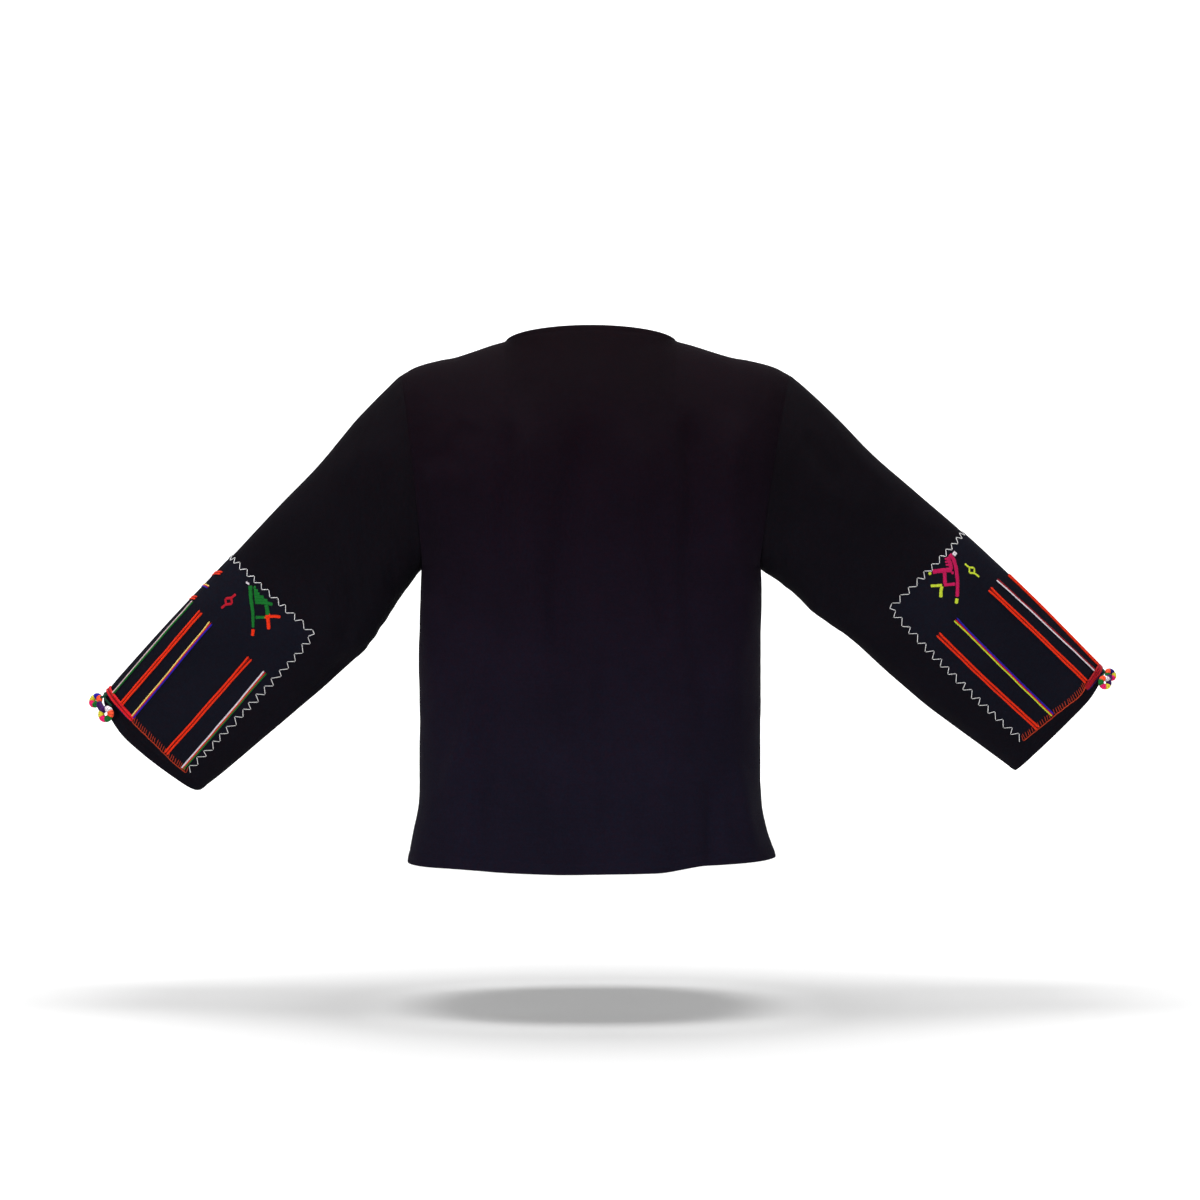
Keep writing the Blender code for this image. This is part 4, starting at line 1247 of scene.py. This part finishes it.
def tabs(hand, pools):
    """The red cord at the cuff's top corner: three thick strands over the top edge, and a green one beyond."""
    end = {"left": 67.0, "right": 55.0}[hand]
    strands = [Strand("red", -2.5, 1.45), Strand("dark_red", -0.1, 1.15), Strand("red", 2.2, 1.4), Strand("purple", 3.9, 0.5)]
    if hand == "right":
        strands = [Strand("dark_red", -3.3, 1.5), Strand("crimson", -0.7, 1.35), Strand("dark_red", 1.9, 1.35),
                   Strand("purple", 4.2, 0.7)]
    f = np.linspace(0, 1, 90)
    angle = end + (-40.0 - end) * f
    start = {"left": -7.2, "right": -5.6}[hand]
    t = LAST + start / STATION_LENGTH[hand] + 0 * f
    wobble = Noise(71)
    for s in strands:
        drift = 0.35 * wobble(f * 7, 3.0 + s.offset + 0 * f)
        pinch = s.offset * (1 - 0.45 * np.exp(-f * 12))
        ts, an = place(hand, t, angle, pinch + drift, 0.0)
        lay(pools[s.colour], hand, ts, an, s.radius, sides=10, ply=0.16, pitch=7.0, taper=2.4, base=0.5, sink=0.5)
    f = np.linspace(0, 1, 50)
    angle = {"left": 40.0, "right": 30.0}[hand] + (-46.0) * f
    ts, an = place(hand, LAST + 0 * f, angle, 0.4 + 1.2 * np.sin(f * 5), 0.0)
    lay(pools["dark_green"], hand, ts, an, 1.1, sides=8, ply=0.15, pitch=5.0, taper=2.0, base=0.2)


SLOT_OF = {"red": "red_cord", "dark_red": "red_cord", "green": "green_thread", "dark_green": "green_thread",
           "pink": "pink_thread", "magenta": "pink_thread"}
for hand in ("left", "right"):
    for o in embroider(hand):
        colour = o.name.split("_", 2)[2]
        nodes = ["cuff_tab_" + hand] if colour == "red" else []
        keep(o, *nodes, slot=SLOT_OF.get(colour, "orange_thread"))


# ---------------------------------------------------------------------------------------------------------------
# Thread-wrapped rings
# ---------------------------------------------------------------------------------------------------------------
Ring = namedtuple("Ring", "name x y z nx ny nz radius thick colours")
RINGS = [
    Ring("thread_ring_left_1", -583.0, 35.0, -417.5, -0.45, -0.75, 0.45, 5.5, 7.2,
         ("coral", "blue", "bright_yellow", "pink", "green")),
    Ring("thread_ring_left_2", -564.5, 7.5, -432.0, -0.25, -0.93, 0.20, 6.0, 7.4,
         ("coral", "white", "purple", "bright_yellow", "pink", "green")),
    Ring("thread_ring_right_1", 611.0, 34.0, -387.0, 0.45, -0.75, 0.45, 4.6, 6.4,
         ("bright_yellow", "navy", "coral", "green", "pink")),
    Ring("thread_ring_right_2", 599.0, 12.0, -395.5, 0.25, -0.93, 0.20, 5.0, 6.6,
         ("purple", "white", "coral", "green", "pink", "bright_yellow")),
]


def wrapped_ring(r):
    """A ring wrapped in thread: each colour covers its own part, the wraps showing as fine ridges."""
    n = np.array([r.nx, r.ny, r.nz])
    n = n / np.linalg.norm(n)
    # The first colour starts at the viewer's right, and the others follow anticlockwise as the back is seen.
    right = np.array([1.0, 0, 0]) - n * n[0]
    right /= np.linalg.norm(right)
    up = np.cross(n, right)
    up = up if up[2] > 0 else -up
    wraps = 52
    steps, sides = wraps * 5, 14
    a = np.linspace(0, 2 * np.pi, steps + 1)[:-1]
    b = np.linspace(0, 2 * np.pi, sides + 1)[:-1]
    ridge = 1 + 0.045 * np.cos(a * wraps)[:, None] + 0.02 * np.cos(a * wraps / 2 + 1)[:, None]
    count = len(r.colours)
    part = ((a + np.pi / count) / (2 * np.pi) * count) % count
    edge = np.minimum(part % 1, 1 - part % 1)
    ridge = ridge * (1 - 0.16 * np.exp(-((edge / 0.07) ** 2)))[:, None]
    thick = r.thick / 2 * ridge
    out = right[None, :] * np.cos(a)[:, None] + up[None, :] * np.sin(a)[:, None]
    middle = np.array([r.x, r.y, r.z])
    points = (
        middle
        + out[:, None, :] * (r.radius + thick * np.cos(b))[..., None]
        + n[None, None, :] * (thick * np.sin(b))[..., None]
    )
    uv = np.stack(np.broadcast_arrays((a * r.radius)[:, None] * 1.0, (b / (2 * np.pi))[None, :]), -1)
    rows = steps
    i, j = np.meshgrid(np.arange(rows), np.arange(sides), indexing="ij")
    i2, j2 = (i + 1) % rows, (j + 1) % sides
    quads = np.stack([i * sides + j, i2 * sides + j, i2 * sides + j2, i * sides + j2], -1).reshape(-1, 4)
    if np.dot(np.cross(out[0], out[1]), n) < 0:
        quads = quads[:, ::-1]
    o = new_object(r.name + "_wrapped", points.reshape(-1, 3), quads, uv.reshape(-1, 2) * MM, None, None)
    for c in r.colours:
        o.data.materials.append(THREADS[c])
    which = np.floor(part).astype(np.int32) % count
    o.data.polygons.foreach_set("material_index", np.repeat(which, sides))
    o.data.update()
    return o


for r in RINGS:
    keep(wrapped_ring(r), r.name, slot={"coral": "orange_thread"}.get(r.colours[0], "green_thread"))


# Knots and short cords that join the rings to the cuff's corner.
def link_cord(name, colour, points, radius):
    pool = Threads(name, THREADS[colour])
    pts = np.asarray(points, float)
    length = np.concatenate([[0], np.cumsum(np.linalg.norm(np.diff(pts, axis=0), axis=1))])
    at = np.linspace(0, length[-1], 26)
    path = np.stack([curve(length, pts[:, i], at) for i in range(3)], 1)
    up = np.tile(np.array([0.0, -1.0, 0.2]), (len(path), 1))
    pool.tube(path, up, radius, sides=10, ply=0.18, pitch=5.0, taper=1.6)
    return keep(pool.make(), slot="green_thread")


link_cord("ring_link_left_1", "dark_green", [(-563, 33, -405), (-570, 33, -411), (-577.5, 31, -414.5)], 1.5)
link_cord("ring_link_left_2", "purple", [(-578.0, 29, -420.5), (-574.5, 22.5, -424.0), (-570.0, 14.5, -428.0)], 3.4)
link_cord("ring_link_right_1", "dark_green", [(593, 33, -379), (600, 33.5, -382), (607.0, 32, -385.5)], 1.5)
link_cord("ring_link_right_2", "purple", [(608.5, 29, -389.0), (606.5, 22.5, -391.0), (603.0, 16.0, -393.0)], 3.0)

# ---------------------------------------------------------------------------------------------------------------
# The flat size each sheet was cut to
# ---------------------------------------------------------------------------------------------------------------
Cut = namedtuple("Cut", "width length area")
CUTS = {
    "jacket_back": Cut(0.550, 0.650, 0.308),
    "jacket_front_left": Cut(0.275, 0.640, 0.143),
    "jacket_front_right": Cut(0.275, 0.640, 0.145),
    "jacket_sleeve_left": Cut(0.580, 0.520, 0.198),
    "jacket_sleeve_right": Cut(0.580, 0.520, 0.199),
    "jacket_patch_left": Cut(0.226, 0.214, None),
    "jacket_patch_right": Cut(0.226, 0.214, None),
}
for name, cut in CUTS.items():
    if "patch" in name:
        hand = name.split("_")[-1]

# ---------------------------------------------------------------------------------------------------------------
# Studio: a pale floor that turns up into a backdrop, a camera behind the jacket and soft lights
# ---------------------------------------------------------------------------------------------------------------
FLOOR_Z = -0.769


def sweep():
    radius, back, front, wall, half = 1.6, 5.0, -6.0, 5.0, 7.0
    profile = [(front, FLOOR_Z), (back - radius, FLOOR_Z)]
    for i in range(1, 25):
        a = math.pi / 2 * i / 24
        profile.append((back - radius + radius * math.sin(a), FLOOR_Z + radius * (1 - math.cos(a))))
    profile.append((back, wall))
    points, quads = [], []
    for i, (y, z) in enumerate(profile):
        points += [(-half * 1000, y * 1000, z * 1000), (half * 1000, y * 1000, z * 1000)]
        if i:
            quads.append((2 * i - 2, 2 * i - 1, 2 * i + 1, 2 * i))
    m, tree, shader = nodes_of("studio_paper")
    shader.inputs["Base Color"].default_value = (0.66, 0.66, 0.66, 1)
    shader.inputs["Roughness"].default_value = 0.9
    shader.inputs["Specular IOR Level"].default_value = 0.05
    shader.inputs["Emission Color"].default_value = (1, 1, 1, 1)
    # The paper is lit evenly by itself away from the jacket, so that it stays white out to the picture's edges.
    coords = add(tree, "ShaderNodeTexCoord").outputs["Object"]
    far = add(tree, "ShaderNodeVectorMath", operation="LENGTH")
    tree.links.new(coords, far.inputs[0])
    glow = add(tree, "ShaderNodeMapRange")
    glow.inputs["From Min"].default_value = 0.75
    glow.inputs["From Max"].default_value = 3.2
    glow.inputs["To Min"].default_value = 0.02
    glow.inputs["To Max"].default_value = 0.95
    tree.links.new(far.outputs["Value"], glow.inputs["Value"])
    tree.links.new(glow.outputs[0], shader.inputs["Emission Strength"])
    o = new_object("studio_floor", points, quads, None, None, m)


sweep()


def area_light(name, at, to, size, power, size_y=None):
    data = bpy.data.lights.new(name, "AREA")
    data.shape = "RECTANGLE"
    data.size, data.size_y = size, size_y or size
    data.energy = power
    o = bpy.data.objects.new(name, data)
    o.location = at
    o.rotation_euler = (Vector(to) - Vector(at)).to_track_quat("-Z", "Y").to_euler()
    bpy.context.scene.collection.objects.link(o)
    o.visible_camera = False
    return o


area_light("light_top", (0.0, -0.02, 2.05), (0.0, 0.0, -0.7), 2.0, 104.0, 1.3)
area_light("light_left", (-1.6, -3.1, -0.1), (0.0, 0.0, -0.3), 1.2, 56.0, 1.0)
area_light("light_right", (1.7, -3.0, -0.1), (0.0, 0.0, -0.35), 1.5, 26.0, 1.0)

world = bpy.data.worlds.new("studio")
world.use_nodes = True
world.node_tree.nodes["Background"].inputs[0].default_value = (1, 1, 1, 1)
world.node_tree.nodes["Background"].inputs[1].default_value = 0.16
bpy.context.scene.world = world

camera = bpy.data.cameras.new("camera")
camera.sensor_width = 36.0
camera.lens = 36.0 * 2.4 / 1.392
holder = bpy.data.objects.new("camera", camera)
holder.location = (0.01044, -2.4, -0.29928)
holder.rotation_euler = (math.pi / 2, 0, 0)
bpy.context.scene.collection.objects.link(holder)
bpy.context.scene.camera = holder
bpy.context.scene.view_settings.view_transform = "Standard"
bpy.context.scene.view_settings.look = "None"
